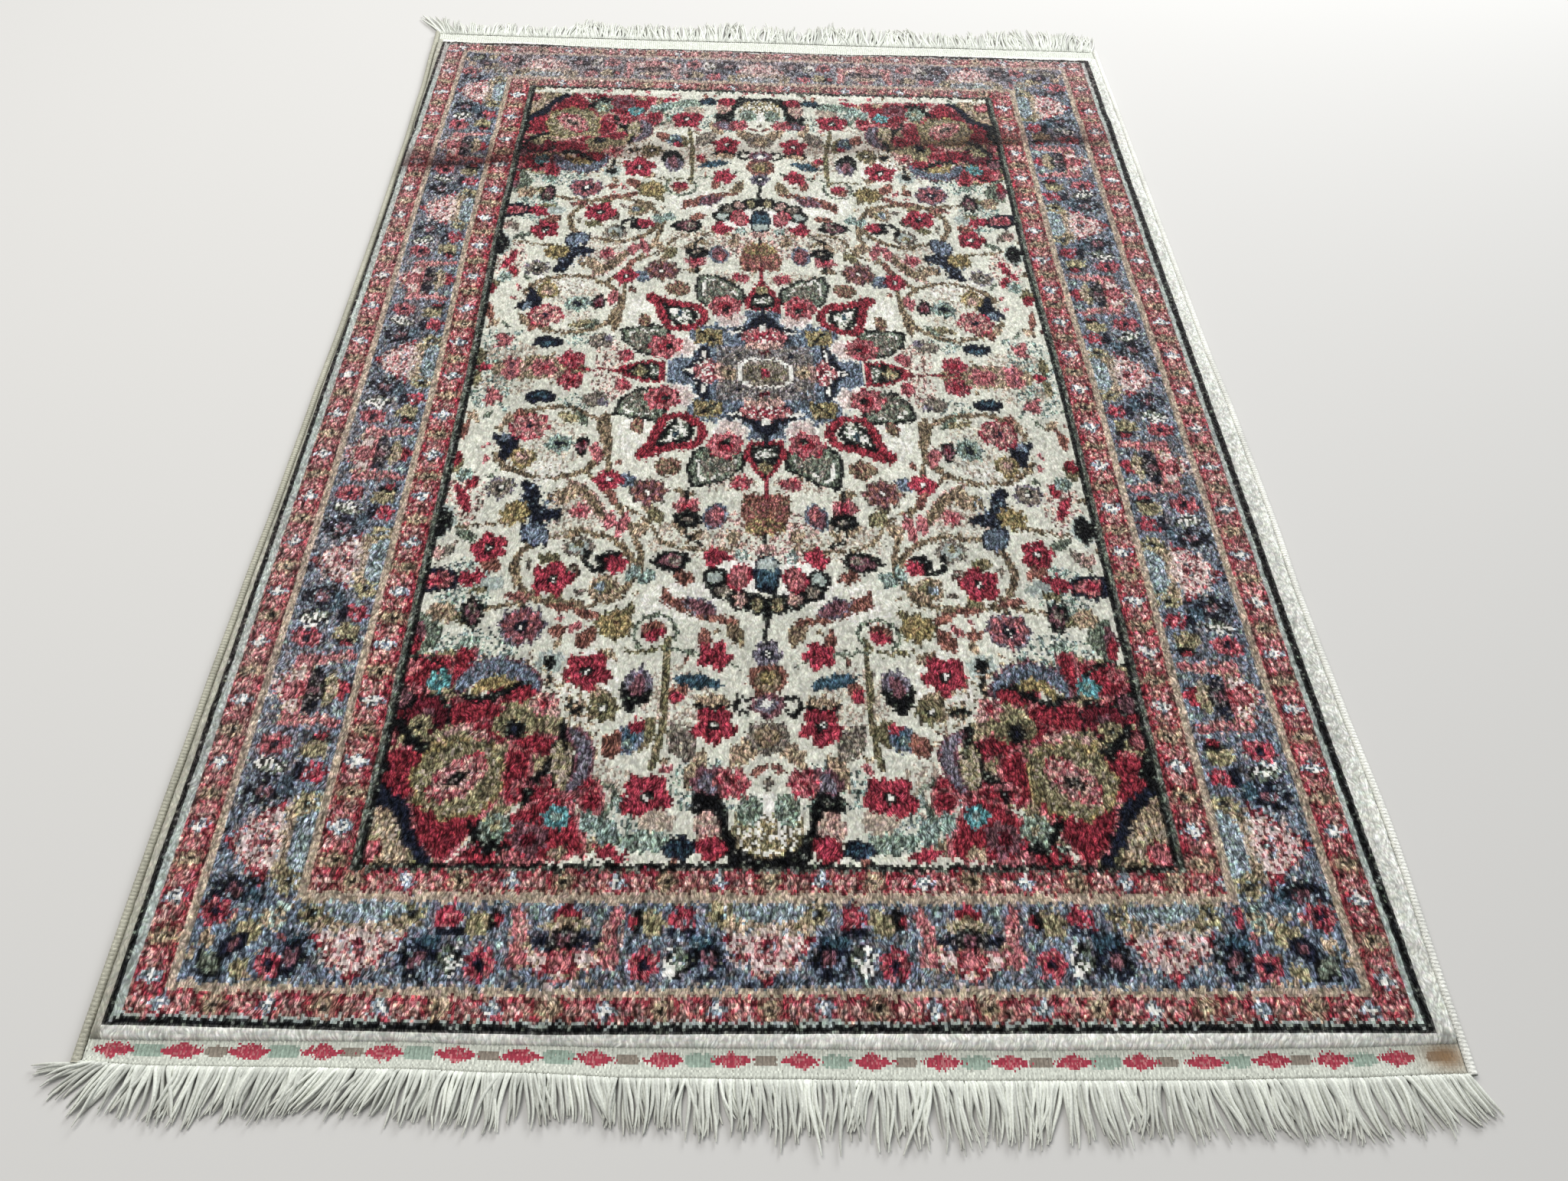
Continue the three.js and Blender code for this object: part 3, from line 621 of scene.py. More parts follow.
# The medallion
# A stepped slate disc with a small eight-sided white heart. Four navy palmettes face outwards in it, and
# crimson points, sage cartouches and flowers ring it.
for reach_a, reach_b in ((82, 15), (76, 26), (68, 44), (64, 61), (44, 66), (16, 82)):
    field.block(0, 0, 2 * reach_a, 2 * reach_b, "slate")
field.fleck(0, 0, 170, 170, "pale_blue", 0.08)
for corners in ([(18, 98), (19, 112), (34, 126), (55, 133), (59, 116), (56, 98), (40, 84)],
                [(84, 58), (106, 58), (122, 54), (119, 39), (106, 25), (86, 22)]):
    field.shape(corners, "sage", "black", 3.2)
for route in ([(23, 106), (34, 120), (50, 127), (53, 106)], [(92, 53), (106, 53), (116, 48), (107, 32)]):
    field.stem(route, 2.4, "white")
for a, b, long in ((38, 108, 34), (102, 40, 30)):
    field.fleck(a, b, 30, long, "taupe", 0.5)
for a, b in ((29, 72), (71, 31)):
    field.flower(a, b, 13, "petal", "blush", None, 6, "white", core=0.2)
for a, b in ((33, 88), (85, 33)):
    field.flower(a, b, 14, "rose", "crimson", None, 7, "red", core=0.5)
    field.oval(a - 0.04 * a, b - 0.04 * b, 8, 7, "black")
field.oval(71, 76, 26, 22, "white", None, 30)
field.fleck(71, 76, 26, 24, "sage", 0.45)
for stem in (
        ([(64, 64), (60, 74), (66, 84), (78, 86), (87, 92)], 5, "black"),
        ([(87, 90), (82, 74), (74, 62)], 5, "black"), ([(70, 72), (78, 82)], 5, "white"),
        ([(66, 56), (54, 66), (52, 78), (60, 89), (77, 93), (92, 101)], 8.5, "crimson"),
        ([(98, 103), (92, 88), (88, 72), (80, 57), (66, 56)], 8, "crimson")):
    field.stem(*stem)
field.oval(97, 100, 14, 15, "crimson", None, -40)
field.oval(73, 77, 5, 9, "teal")
field.shape([(-15, 84), (15, 84), (17, 100), (9, 117), (0, 131), (-9, 117), (-17, 100)], "crimson")
field.shape([(-12, 88), (12, 88), (11, 103), (0, 123), (-11, 103)], "black")
field.mottle(0, 98, 20, 9, "sage", "white", 0.4)
field.oval(0, 105, 7, 6, "black")
field.flower(0, 114, 6.5, "khaki", "gold", None, 4)
field.stem([(0, 128), (0, 146)], 4, "crimson")
field.shape([(84, -15), (84, 15), (100, 16), (117, 8), (130, 0), (117, -8), (100, -16)], "crimson")
field.shape([(88, -11), (90, 11), (103, 11), (121, 0), (103, -11)], "black")
field.mottle(93, 0, 8, 18, "sage", "white", 0.4)
field.flower(106, 0, 7, "khaki", "gold", None, 4)
field.stem([(122, 0), (166, 0)], 4, "crimson")
for a, b, wide, long in ((19, 131, 18, 14), (119, 19, 14, 17)):
    field.mottle(a, b, wide, long, "rose", "red", 0.4)
for a, b, wide, long in ((76, 114, 22, 20), (104, 68, 12, 18)):
    field.mottle(a, b, wide, long, "stem", "madder", 0.3)
field.oval(0, 68, 24, 16, "navy")
field.stem([(0, 76), (0, 86)], 4, "navy")
field.shape([(-36, 51), (36, 51), (24, 57), (12, 64), (-12, 64), (-24, 57)], "navy")
for oval in (
        (0, 48, 42, 20, "rose", "navy"), (0, 47, 20, 15, "red"), (0, 37, 34, 12, "blush")):
    field.oval(*oval)
field.fleck(0, 48, 40, 18, "white", 0.16)
field.oval(0, 60, 7, 9, "white")
field.oval(25, 52, 14, 3.6, "white")
field.shape([(48, -36), (48, 36), (56, 30), (60, 14), (72, 0), (60, -14), (56, -30)], "navy")
for oval in (
        (49, 0, 14, 32, "rose"), (47, 0, 12, 17, "red"), (39, 0, 9, 24, "blush"),
        (60, 0, 20, 5, "white"), (57, 0, 8, 14, "rose"), (52, 22, 3.6, 12, "white")):
    field.oval(*oval)
field.fleck(52, 0, 22, 36, "white", 0.16)
field.block(48, 46, 22, 20, "gold")
field.fleck(48, 46, 24, 22, "khaki", 0.35)
field.stem([(42, 40), (54, 52)], 3, "black")
field.stem([(46, 50), (51, 43)], 2.4, "olive")
field.lay((field.yarn == NUMBER["slate"]) & (field.a < 42) & (field.b < 34), "haze")
field.fleck(0, 0, 88, 72, "taupe", 0.25)
for oval in (
        (31, 0, 13, 16, "tan"), (31, 0, 4, 4, "black"), (23, 22, 6, 5, "navy"), (0, 27, 12, 5, "wine")):
    field.oval(*oval)
for half_wide, half_long, yarn in ((23, 19, "white"), (20, 16, "taupe")):
    field.shape([(-half_wide, -half_long / 2), (-half_wide, half_long / 2), (-half_wide / 2, half_long),
                 (half_wide / 2, half_long), (half_wide, half_long / 2), (half_wide, -half_long / 2),
                 (half_wide / 2, -half_long), (-half_wide / 2, -half_long)], yarn)
field.fleck(0, 0, 36, 28, "olive", 0.35)
for wide, long in ((8, 5), (5, 10)):
    field.block(0, 0, wide, long, "red")
field.fill(1000, ("tan", "stem", "rust", "sage", "khaki", "rose", "taupe", "aqua", "madder"), (3.4, 6.4),
           63, 3)

# The main border
# One repeat is a palmette, then buds, a red rosette and a second palmette, and its mirror image, knotted
# on slate blue wool.
BORDER_REPEAT, BORDER_DEPTH = 118.0, 48.0
border = Chart(BORDER_REPEAT, BORDER_DEPTH, "slate")
for fleck in (
        (60, 24, 150, 60, "haze", 0.2), (60, 30, 150, 60, "aqua", 0.1),
        (61, 30, 150, 60, "lilac", 0.2)):
    border.fleck(*fleck)
border.oval(0, 43, 50, 14, "pale_blue")
border.fleck(0, 43, 48, 13, "white", 0.25)
border.fleck(0, 43, 48, 13, "aqua", 0.35)
border.mottle(0, 32, 54, 10, "tan", "cream", 0.45)
border.shape([(-29, 29), (29, 29), (22, 20), (14, 14), (8, 8), (0, 1), (-8, 8), (-14, 14), (-22, 20)],
             "crimson")
border.shape([(-23, 28), (23, 28), (12, 16), (0, 7), (-12, 16)], "rose")
border.fleck(0, 20, 44, 26, "blush", 0.4)
border.fleck(0, 21, 50, 26, "petal", 0.25)
for a, b in ((-18, 27), (-9, 28), (0, 29), (9, 28), (18, 27), (-11, 20), (11, 20), (-4, 12), (4, 12)):
    border.flower(a, b, 3.6, "petal", "rose", None, 5)
border.oval(0, 25, 6, 6, "wine")
border.flower(28, 41, 8.5, "khaki", "black", None, 6, core=0.3)
border.flower(19, 36, 5, "tan", "olive", None, 5)
border.shape([(24, 12), (30, 26), (38, 31), (46, 24), (48, 12), (40, 3), (30, 4)], "navy")
border.fleck(36, 16, 26, 30, "black", 0.35)
border.fleck(36, 16, 26, 30, "slate", 0.16)
border.oval(35, 15, 8, 10, "mauve", None, -30)
border.oval(40, 26, 16, 8, "teal")
border.flower(50, 39, 8.5, "red", "crimson", None, 5)
border.fleck(50, 39, 15, 9, "rose", 0.25)
border.oval(51, 31, 17, 6, "navy")
border.leaf(54, 14, 13, 22, "black", None, 15)
border.leaf(52, 15, 8, 17, "sage", None, 15)
border.fleck(56, 14, 12, 18, "white", 0.4)
border.fleck(60, 25, 150, 60, "pale_blue", 0.08)
border.flower(68, 36, 9, "khaki", "olive", None, 6, core=0.25)
border.oval(77, 38, 8, 14, "black")
border.oval(80, 38, 5, 8, "crimson")
border.flower(72.5, 13, 10, "red", "navy", None, 7, None, "rose", core=0.34)
border.stem([(91, 15), (93, 28), (90, 42)], 8, "rose")
border.fleck(92, 28, 12, 30, "blush", 0.35)
border.oval(99, 18, 8, 12, "tan", None, 30)
border.block(118, 42, 17, 5, "crimson")
border.block(118, 46, 7, 4, "red")
border.mottle(118, 35, 30, 10, "khaki", "cream", 0.3)
for oval in (
        (118, 35, 9, 7, "tan"), (118, 26, 42, 10, "navy"), (118, 27, 18, 14, "black")):
    border.oval(*oval)
border.fleck(118, 26, 42, 12, "haze", 0.2)
border.oval(118, 26, 7, 7, "mauve")
border.shape([(90, 21), (146, 21), (142, 12), (130, 10), (118, 1), (106, 10), (94, 12)], "rose")
border.shape([(95, 19), (141, 19), (134, 13), (118, 5), (102, 13)], "petal")
border.fleck(118, 13, 50, 18, "tan", 0.3)
border.fleck(118, 13, 50, 18, "crimson", 0.12)
border.oval(118, 14, 14, 9, "rose", "crimson")
border.fill(480, ("tan", "aqua", "pale_blue", "petal", "petal", "navy", "blush", "pale_green", "cream"),
            (3.0, 6.0), 61, 1)

# The guards and the corner squares
# A guard on each side of the main border is a crimson ribbon of star flowers, with round ones between
# them. Where two borders meet, a square with three small flowers turns the corner.
GUARD_REPEAT, GUARD_DEPTH = 31.0, 16.0
guard = Chart(GUARD_REPEAT, GUARD_DEPTH, "crimson")
for fleck in (
        (15, 8, 40, 20, "red", 0.35), (15, 8, 40, 20, "rose", 0.2), (16, 8, 40, 20, "madder", 0.25),
        (17, 8, 40, 20, "blush", 0.1)):
    guard.fleck(*fleck)
guard.flower(0, 8, 6.4, "pale_blue", "slate", None, 4, core=0.34, depth=0.42)
guard.fleck(0, 8, 9, 9, "white", 0.35)
guard.oval(14.5, 8, 12, 10, "rose")
guard.fleck(14.5, 8, 13, 11, "blush", 0.45)
guard.oval(14.5, 8, 3.5, 3.5, "madder")
guard.oval(31, 8, 17, 17, "madder")
guard.fleck(31, 8, 16, 16, "tan", 0.3)
guard.flower(31, 8, 6.4, "tan", "black", None, 6, core=0.3)

CORNER_SIZE = 52.0
corner = Chart(CORNER_SIZE, CORNER_SIZE, "slate")
corner.flower(30, 31, 9, "khaki", "olive", None, 8)
corner.mottle(42, 40, 15, 15, "tan", "aqua", 0.4)
corner.oval(24, 24, 20, 12, "navy", None, 45)
corner.oval(24, 24, 9, 5, "mauve", None, 45)
for a, b in ((46, 12), (9, 44)):
    corner.flower(a, b, 9.5, "red", "navy", None, 7, None, "rose", core=0.34)
corner.leaf(14, 12, 10, 18, "sage", "black", 45)
corner.oval(30, 9, 11, 10, "khaki")
corner.oval(9, 27, 10, 11, "tan")
corner.fill(80, ("tan", "aqua", "pale_blue", "mauve", "rose"), (3.0, 5.0), 62, 1)

# The pile
# Each knot is a tuft of wool 1.8 mm wide and 1.6 mm long, tied round the warps and cut, and is one face of
# the pile. Bands of knots run round the field: lines, guards, cream lines and the main border.
KNOT_WIDTH, KNOT_LENGTH = 1.8, 1.6
LEFT_KNOTS, RIGHT_KNOTS, NEAR_KNOTS, FAR_KNOTS = 4, 7, 7, 6
SIDE_BANDS = (3, 2, 11, 3, 31, 3, 12, 2, 2)
END_BANDS = (3, 1, 8, 3, 30, 4, 8, 1, 2)
BAND_YARNS = ("black", "grey_green", "crimson", "line", "slate", "line", "crimson", "smoke", "black")
GUARD_BANDS, BORDER_BAND = (2, 6), 4
frame_columns = round(FRAME_WIDTH / KNOT_WIDTH)
frame_rows = round(FRAME_LENGTH / KNOT_LENGTH)
columns = LEFT_KNOTS + frame_columns + RIGHT_KNOTS
rows = NEAR_KNOTS + frame_rows + FAR_KNOTS

# The cloth's outline
# The sides bow and the ends wander, as on any hand loom. These are the CAD model's own tables: places
# along or across are shares of the frame's sides.
SIDES = (  # along, outside the frame at the left, at the right
    (-0.04, 12.0, 17.5), (0.00, 12.2, 18.6), (0.12, 12.4, 22.8), (0.20, 11.7, 20.9), (0.28, 10.8, 20.2),
    (0.36, 9.3, 21.6), (0.46, 8.5, 21.2), (0.56, 6.9, 18.8), (0.68, 6.4, 18.6), (0.80, 7.2, 18.3),
    (0.90, 9.0, 18.0), (1.00, 13.0, 17.0), (1.04, 15.0, 17.0))
ENDS = (  # across, near pile, near flatweave, far pile, far flatweave
    (0.00, 6.2, 19.0, 10.5, 30.5), (0.06, 7.0, 21.0, 3.5, 29.5), (0.13, 7.4, 21.8, 9.5, 29.0),
    (0.22, 7.8, 23.0, 3.2, 30.0), (0.30, 9.8, 25.2, 1.5, 30.2), (0.40, 11.5, 28.2, 2.6, 30.4),
    (0.50, 12.2, 29.2, 4.0, 31.2), (0.60, 13.3, 30.2, 2.0, 30.6), (0.70, 13.6, 30.4, 3.6, 31.0),
    (0.80, 13.2, 30.4, 7.0, 32.0), (0.90, 12.4, 29.4, 9.5, 32.5), (1.00, 10.4, 27.5, 11.0, 32.0))
SELVEDGE_WIDTH, SELVEDGE_HEIGHT, FIT_GAP = 5.2, 5.0, 0.3


def between(table, column, at):
    """The value of one column of a table, eased from row to row as in the CAD model."""
    rows = np.array(table)
    places = rows[:, 0]
    at = np.asarray(at, float)
    row = np.clip(np.searchsorted(places, at, side="left") - 1, 0, len(places) - 2)
    share = np.clip((at - places[row]) / (places[row + 1] - places[row]), 0, 1)
    eased = share * share * (3 - 2 * share)
    return rows[row, column] + (rows[row + 1, column] - rows[row, column]) * eased


def left_bound(y):
    """The rug's left side."""
    return -between(SIDES, 1, np.asarray(y) / FRAME_LENGTH)


def right_bound(y):
    """The rug's right side."""
    return FRAME_WIDTH + between(SIDES, 2, np.asarray(y) / FRAME_LENGTH)


def cloth_left(y):
    """The cloth's left edge, where the selvedge begins."""
    return left_bound(y) + SELVEDGE_WIDTH + FIT_GAP


def cloth_right(y):
    """The cloth's right edge, where the selvedge begins."""
    return right_bound(y) - SELVEDGE_WIDTH - FIT_GAP


def over_cloth(y, across):
    """The place at a share of the cloth's width."""
    return cloth_left(y) + (cloth_right(y) - cloth_left(y)) * across


def near_pile_end(across):
    """Where the pile ends and the flatweave begins, at the near end."""
    return -between(ENDS, 1, across)


def near_weave_end(across):
    """Where the near flatweave ends and its fringe begins."""
    return -between(ENDS, 2, across)


def far_pile_end(across):
    """Where the pile ends and the flatweave begins, at the far end."""
    return FRAME_LENGTH + between(ENDS, 3, across)


def far_weave_end(across):
    """Where the far flatweave ends and its fringe begins."""
    return FRAME_LENGTH + between(ENDS, 4, across)


def knot_lines(before, inside, after):
    """Where the lines between knots run, with whole knots inside the frame from 0 to 1."""
    return np.concatenate([np.linspace(-1, 0, before + 1)[:-1], np.linspace(0, 1, inside + 1),
                           np.linspace(1, 2, after + 1)[1:]])


def ramp(value, start, end):
    """A share from 0 at the start to 1 at the end, and level beyond them."""
    return np.clip((value - start) / (end - start), 0, 1)


NEAR_BOW, NEAR_DRIFT, FAR_DRIFT, BORDER_WIDTH = 6.0, 3.6, 8.0, 100.0
DRIFT_FROM, DRIFT_TO = 540, 720
CLOTH_BESIDE_LEFT, CLOTH_BESIDE_BOTH = 10, 24


def pile_plan():
    """The corners of all knots: the place of each in millimetres, with its share of the width."""
    line_x = knot_lines(LEFT_KNOTS, frame_columns, RIGHT_KNOTS)
    line_y = knot_lines(NEAR_KNOTS, frame_rows, FAR_KNOTS)
    u, v = np.meshgrid(line_x, line_y)
    across = np.clip((u * FRAME_WIDTH + CLOTH_BESIDE_LEFT) / (FRAME_WIDTH + CLOTH_BESIDE_BOTH), 0, 1)
    y = np.clip(v, 0, 1) * FRAME_LENGTH
    y -= NEAR_BOW * np.clip(3 * across, 0, 1) * np.clip(1 - y / BORDER_WIDTH, 0, 1)
    y = np.where(v < 0, (1 + v) * y - v * near_pile_end(across), y)
    y = np.where(v > 1, FRAME_LENGTH + (v - 1) * (far_pile_end(across) - FRAME_LENGTH), y)
    x = np.where(u < 0, -u * cloth_left(y), np.clip(u, 0, 1) * FRAME_WIDTH)
    x = np.where(u > 1, FRAME_WIDTH + (u - 1) * (cloth_right(y) - FRAME_WIDTH), x)
    drift = NEAR_DRIFT + (FAR_DRIFT - NEAR_DRIFT) * ramp(y, DRIFT_FROM, DRIFT_TO)
    x -= drift * np.clip(np.minimum(x, FRAME_WIDTH - x) / BORDER_WIDTH, 0, 1)
    return x, y, across


def soft_noise(x, y, cell, seed):
    """Smooth uneven waves from -1 to 1, with about one swell to a cell."""
    grid = np.random.default_rng(seed).uniform(-1, 1, (97, 97))
    u, v = np.asarray(x) / cell + 31.0, np.asarray(y) / cell + 31.0
    i, j = np.floor(u).astype(int), np.floor(v).astype(int)
    s, t = u - i, v - j
    s, t = s * s * (3 - 2 * s), t * t * (3 - 2 * t)
    i, j, i1, j1 = i % 97, j % 97, (i + 1) % 97, (j + 1) % 97
    low = grid[i, j] * (1 - s) + grid[i1, j] * s
    high = grid[i, j1] * (1 - s) + grid[i1, j1] * s
    return low * (1 - t) + high * t


# The knots' yarns
# The weaver reads each knot's yarn off the charts, and slips a knot here and there. The borders repeat
# evenly. A row ON_END or ON_SIDE has the middle of a motif, half a step and a whole step.
FIELD_MIDDLE = (367.0, 547.0)
BORDER_ON_END, BORDER_ON_SIDE = (366.5, 118.0, 236.0), (110.0, 111.0, 222.0)
GUARD_ON_END, GUARD_ON_SIDE = (28.0, 31.0, 61.8), (28.0, 23.0, 46.0)
SMOKY_BLACK_SHARE, GREEN_LINE_COLUMN = 0.1, 2


def band_of(knots_in, bands):
    """Which band a knot lies in, counted from the frame inwards."""
    return np.searchsorted(np.cumsum(bands), knots_in, side="right")


def depth_in(knots_in, bands, band):
    """How deep a knot lies in one band, as a share of it."""
    return (knots_in - sum(bands[:band]) + 0.5) / bands[band]


def on_chart(place, steps, repeat):
    """Where a place along a border falls on its chart, which is turned over at every half step."""
    middle, half, whole = steps
    return np.abs((place - middle + half) % whole - half) * repeat / half


def charted_yarns():
    """The yarn of every knot."""
    draw = np.random.default_rng(11)
    j, i = np.meshgrid(np.arange(rows) - NEAR_KNOTS, np.arange(columns) - LEFT_KNOTS, indexing="ij")
    column_slip = draw.normal(0, 0.5, (1, columns)) + draw.normal(0, 0.55, (rows, columns))
    row = np.clip(np.round(j + column_slip), 0, frame_rows - 1)
    column = np.clip(i, 0, frame_columns - 1)
    side_in = np.minimum(column, frame_columns - 1 - column)
    end_in = np.minimum(row, frame_rows - 1 - row)
    side_band, end_band = band_of(side_in, SIDE_BANDS), band_of(end_in, END_BANDS)
    band = np.minimum(side_band, end_band)
    yarn = np.array([NUMBER[name] for name in BAND_YARNS + ("ivory",)])[band]

    x = (column + 0.5) * KNOT_WIDTH + 1.3 * soft_noise(i * 1.0, j * 1.0, 14, 3)
    y = (row + 0.5) * KNOT_LENGTH + 1.5 * soft_noise(i * 1.0, j * 1.0, 14, 4)
    in_field = band == len(BAND_YARNS)
    yarn = np.where(in_field, field.at(np.abs(x - FIELD_MIDDLE[0]), np.abs(y - FIELD_MIDDLE[1])), yarn)

    on_end = end_band <= side_band
    for chart, chart_repeat, chart_depth, end_steps, side_steps, chart_bands in (
            (border, BORDER_REPEAT, BORDER_DEPTH, BORDER_ON_END, BORDER_ON_SIDE, (BORDER_BAND,)),
            (guard, GUARD_REPEAT, GUARD_DEPTH, GUARD_ON_END, GUARD_ON_SIDE, GUARD_BANDS)):
        along = np.where(on_end, on_chart(x, end_steps, chart_repeat),
                         on_chart(y, side_steps, chart_repeat))
        for number in chart_bands:
            deep = np.where(on_end, depth_in(end_in, END_BANDS, number),
                            depth_in(side_in, SIDE_BANDS, number))
            yarn = np.where(band == number, chart.at(along, deep * chart_depth), yarn)
    square_a = depth_in(side_in, SIDE_BANDS, BORDER_BAND) * CORNER_SIZE
    square_b = depth_in(end_in, END_BANDS, BORDER_BAND) * CORNER_SIZE
    in_square = (side_band == BORDER_BAND) & (end_band == BORDER_BAND)
    yarn = np.where(in_square, corner.at(square_a, square_b), yarn)

    smoky = (yarn == NUMBER["black"]) & (draw.random(yarn.shape) < SMOKY_BLACK_SHARE)
    yarn = np.where(smoky, NUMBER["smoke"], yarn)
    yarn = np.where((i == GREEN_LINE_COLUMN) & (band == 0) & (row > 1), NUMBER["grey_green"], yarn)
    yarn = np.where((j < 0) | (j >= frame_rows), NUMBER["edge"], yarn)
    yarn = np.where(i >= frame_columns, NUMBER["bright_edge"], yarn)
    return np.where(i < 0, NUMBER["dull_edge"], yarn)


# The knots' tones
# Each tuft takes the dye a little differently, and the borders' wool is a little paler. A painted sheen,
# with some fading of worn tips, pales the sides and the far end, and a painted shadow lies along an old
# fold across the far third.
# The painted sheen with some fading: its pale colour, how much at most, and where it lies on each side.
SHEEN_AND_FADE_COLOUR, SHEEN_AND_FADE_MOST = (186, 164, 160), 0.6
SHEEN_AND_FADE_LEFT, SHEEN_AND_FADE_RIGHT, SHEEN_AND_FADE_FAR = 0.17, 0.08, 0.40
LEFT_ACROSS, LEFT_ALONG, RIGHT_ACROSS, RIGHT_ALONG = (95, 55), (60, 180), (640, 680), (150, 350)
FAR_ALONG = (1000, 1040)
DARK_YARN_LIGHT, DARK_YARN_SHEEN_AND_FADE = 0.05, 0.3
BORDER_REACH, BORDER_SIDE_STRETCH, BORDER_GAIN = 106, 1.15, 1.14
# The fold's painted shadow: where it lies, how it fades on each side, how strong it is in the middle, on
# the edge strips and on the pile, and its warm tint.
FOLD_AT_LEFT, FOLD_SLOPE, FOLD_SHADOW_NEAR_FADE, FOLD_SHADOW_FAR_FADE = 846, 0.115, 6, 44
FOLD_MIDDLE, FOLD_HALF_WIDTH, FOLD_SHADOW_MIDDLE_STRENGTH = 370, 220, 0.35
FOLD_SHADOW_ON_EDGE, FOLD_SHADOW_ON_PILE, FOLD_SHADOW_TINT = 0.2, 0.92, (0.86, 1.0, 1.0)


def wool_colours(yarn):
    """The light of every knot: its yarn, a little uneven from tuft to tuft, with fading, painted sheen and
    painted shadow.
    """
    draw = np.random.default_rng(5)
    j, i = np.meshgrid(np.arange(rows), np.arange(columns), indexing="ij")
    light = YARN_LIGHT[yarn]
    streaks = draw.normal(0, 1, (rows + 4, columns))
    streaks = streaks[:-4] + 1.6 * streaks[1:-3] + 2 * streaks[2:-2] + 1.6 * streaks[3:-1] + streaks[4:]
    tone = (0.18 * draw.normal(0, 1, yarn.shape) + 0.09 * streaks) * CONTRAST[yarn] ** 1.5
    tone += 1 + 0.10 * soft_noise(i * 1.0, j * 1.0, 6, 8) + 0.08 * soft_noise(i * 1.0, j * 1.0, 30, 9)
    dye = 1 + draw.normal(0, 0.06, light.shape) * CONTRAST[yarn][..., None]
    light = light * np.clip(tone, 0.3, 1.8)[..., None] * dye
    x, y = (i - LEFT_KNOTS) * KNOT_WIDTH, (j - NEAR_KNOTS) * KNOT_LENGTH
    on_edge = np.isin(yarn, [NUMBER[name] for name in ("edge", "dull_edge", "bright_edge")])

    # Painted sheen, with some fading of worn tips: a pale haze mixed into the sides and the far end, less
    # on dark yarns.
    left = SHEEN_AND_FADE_LEFT * (ramp(x, *LEFT_ACROSS) * ramp(y, *LEFT_ALONG))
    right = SHEEN_AND_FADE_RIGHT * (ramp(x, *RIGHT_ACROSS) * ramp(y, *RIGHT_ALONG))
    sheen_and_fade = np.maximum(left, np.maximum(right, SHEEN_AND_FADE_FAR * ramp(y, *FAR_ALONG)))
    sheen_and_fade *= 1 + 0.5 * soft_noise(x, y, 30, 12)
    sheen_and_fade *= np.where(YARN_LIGHT[yarn].mean(axis=-1) < DARK_YARN_LIGHT, DARK_YARN_SHEEN_AND_FADE, 1)
    sheen_and_fade = np.where(on_edge, 0, np.clip(sheen_and_fade, 0, SHEEN_AND_FADE_MOST))[..., None]
    to_side, to_end = np.minimum(x, FRAME_WIDTH - x), np.minimum(y, FRAME_LENGTH - y)
    in_border = (np.minimum(to_side / BORDER_SIDE_STRETCH, to_end) < BORDER_REACH) & ~on_edge
    light *= np.where(in_border, BORDER_GAIN, 1)[..., None]
    light += sheen_and_fade * (linear(SHEEN_AND_FADE_COLOUR) - light)

    # Painted shadow on the far side of the fold's ridge, strongest towards the sides and with a warm tint.
    fold = y - (FOLD_AT_LEFT + FOLD_SLOPE * x) - 5 * soft_noise(x, y, 60, 13)
    shadow = np.exp(-np.clip(-fold, 0, None) / FOLD_SHADOW_NEAR_FADE) * np.clip(1 - fold / FOLD_SHADOW_FAR_FADE, 0, 1)
    shadow *= np.clip(0.9 + 0.4 * soft_noise(x, y, 24, 14), 0, 1)
    outward = np.clip(np.abs(x - FOLD_MIDDLE) / FOLD_HALF_WIDTH, 0, 1)
    shadow *= FOLD_SHADOW_MIDDLE_STRENGTH + (1 - FOLD_SHADOW_MIDDLE_STRENGTH) * outward
    shadow *= np.where(on_edge, FOLD_SHADOW_ON_EDGE, FOLD_SHADOW_ON_PILE)
    light *= 1 - shadow[..., None] * np.array(FOLD_SHADOW_TINT)
    return light


# The pile's height
# The pile stands 8 mm high with its foundation and rounds down to the cloth at its edges. The old fold
# has left a low ridge across the far part, and each tuft is cut a little higher or lower.
SWELLS = (  # place along the pile at the left, at the right, height above the even pile
    (0.02, 0.02, 0.2), (0.10, 0.10, 0.1), (0.20, 0.20, -0.2), (0.30, 0.30, 0.1), (0.40, 0.40, 0.2),
    (0.50, 0.50, 0.0), (0.60, 0.60, -0.2), (0.69, 0.73, 0.1), (0.755, 0.825, 0.3), (0.780, 0.850, 1.3),
    (0.800, 0.870, 1.8), (0.820, 0.888, -1.0), (0.840, 0.905, 0.2), (0.92, 0.95, 0.3), (0.98, 0.98, 0.1))
PILE_HEIGHT, FLATWEAVE_HEIGHT, PILE_FOOT_DROP = 8.0, 2.4, 0.4
SIDE_WAVES, SIDE_WAVE_HEIGHT = 2.5, 0.25
TUFT_HEIGHT, LOOSE_HEIGHT = 0.17, 0.13
LOOSE_FROM_EDGE, SIDE_ROUNDING, END_ROUNDING = 14, 5.0, 8.0


def pile_swell(across, share):
    """How far the pile stands above its even height: the fold's ridge and the slow waves."""
    swells = np.array(SWELLS)
    lifted = np.zeros(share.shape)
    for column in range(lifted.shape[1]):
        here = across[lifted.shape[0] // 2, column]
        places = swells[:, 0] + (swells[:, 1] - swells[:, 0]) * here
        lifted[:, column] = np.interp(share[:, column], places, swells[:, 2])
    return lifted + SIDE_WAVE_HEIGHT * np.sin(2 * np.pi * SIDE_WAVES * across + 9 * share)


def rounding(distance, width):
    """How high a rounded edge stands, as a share, at a distance in from it."""
    return np.sqrt(np.clip(1 - (1 - np.clip(distance / width, 0, 1)) ** 2, 0, 1))


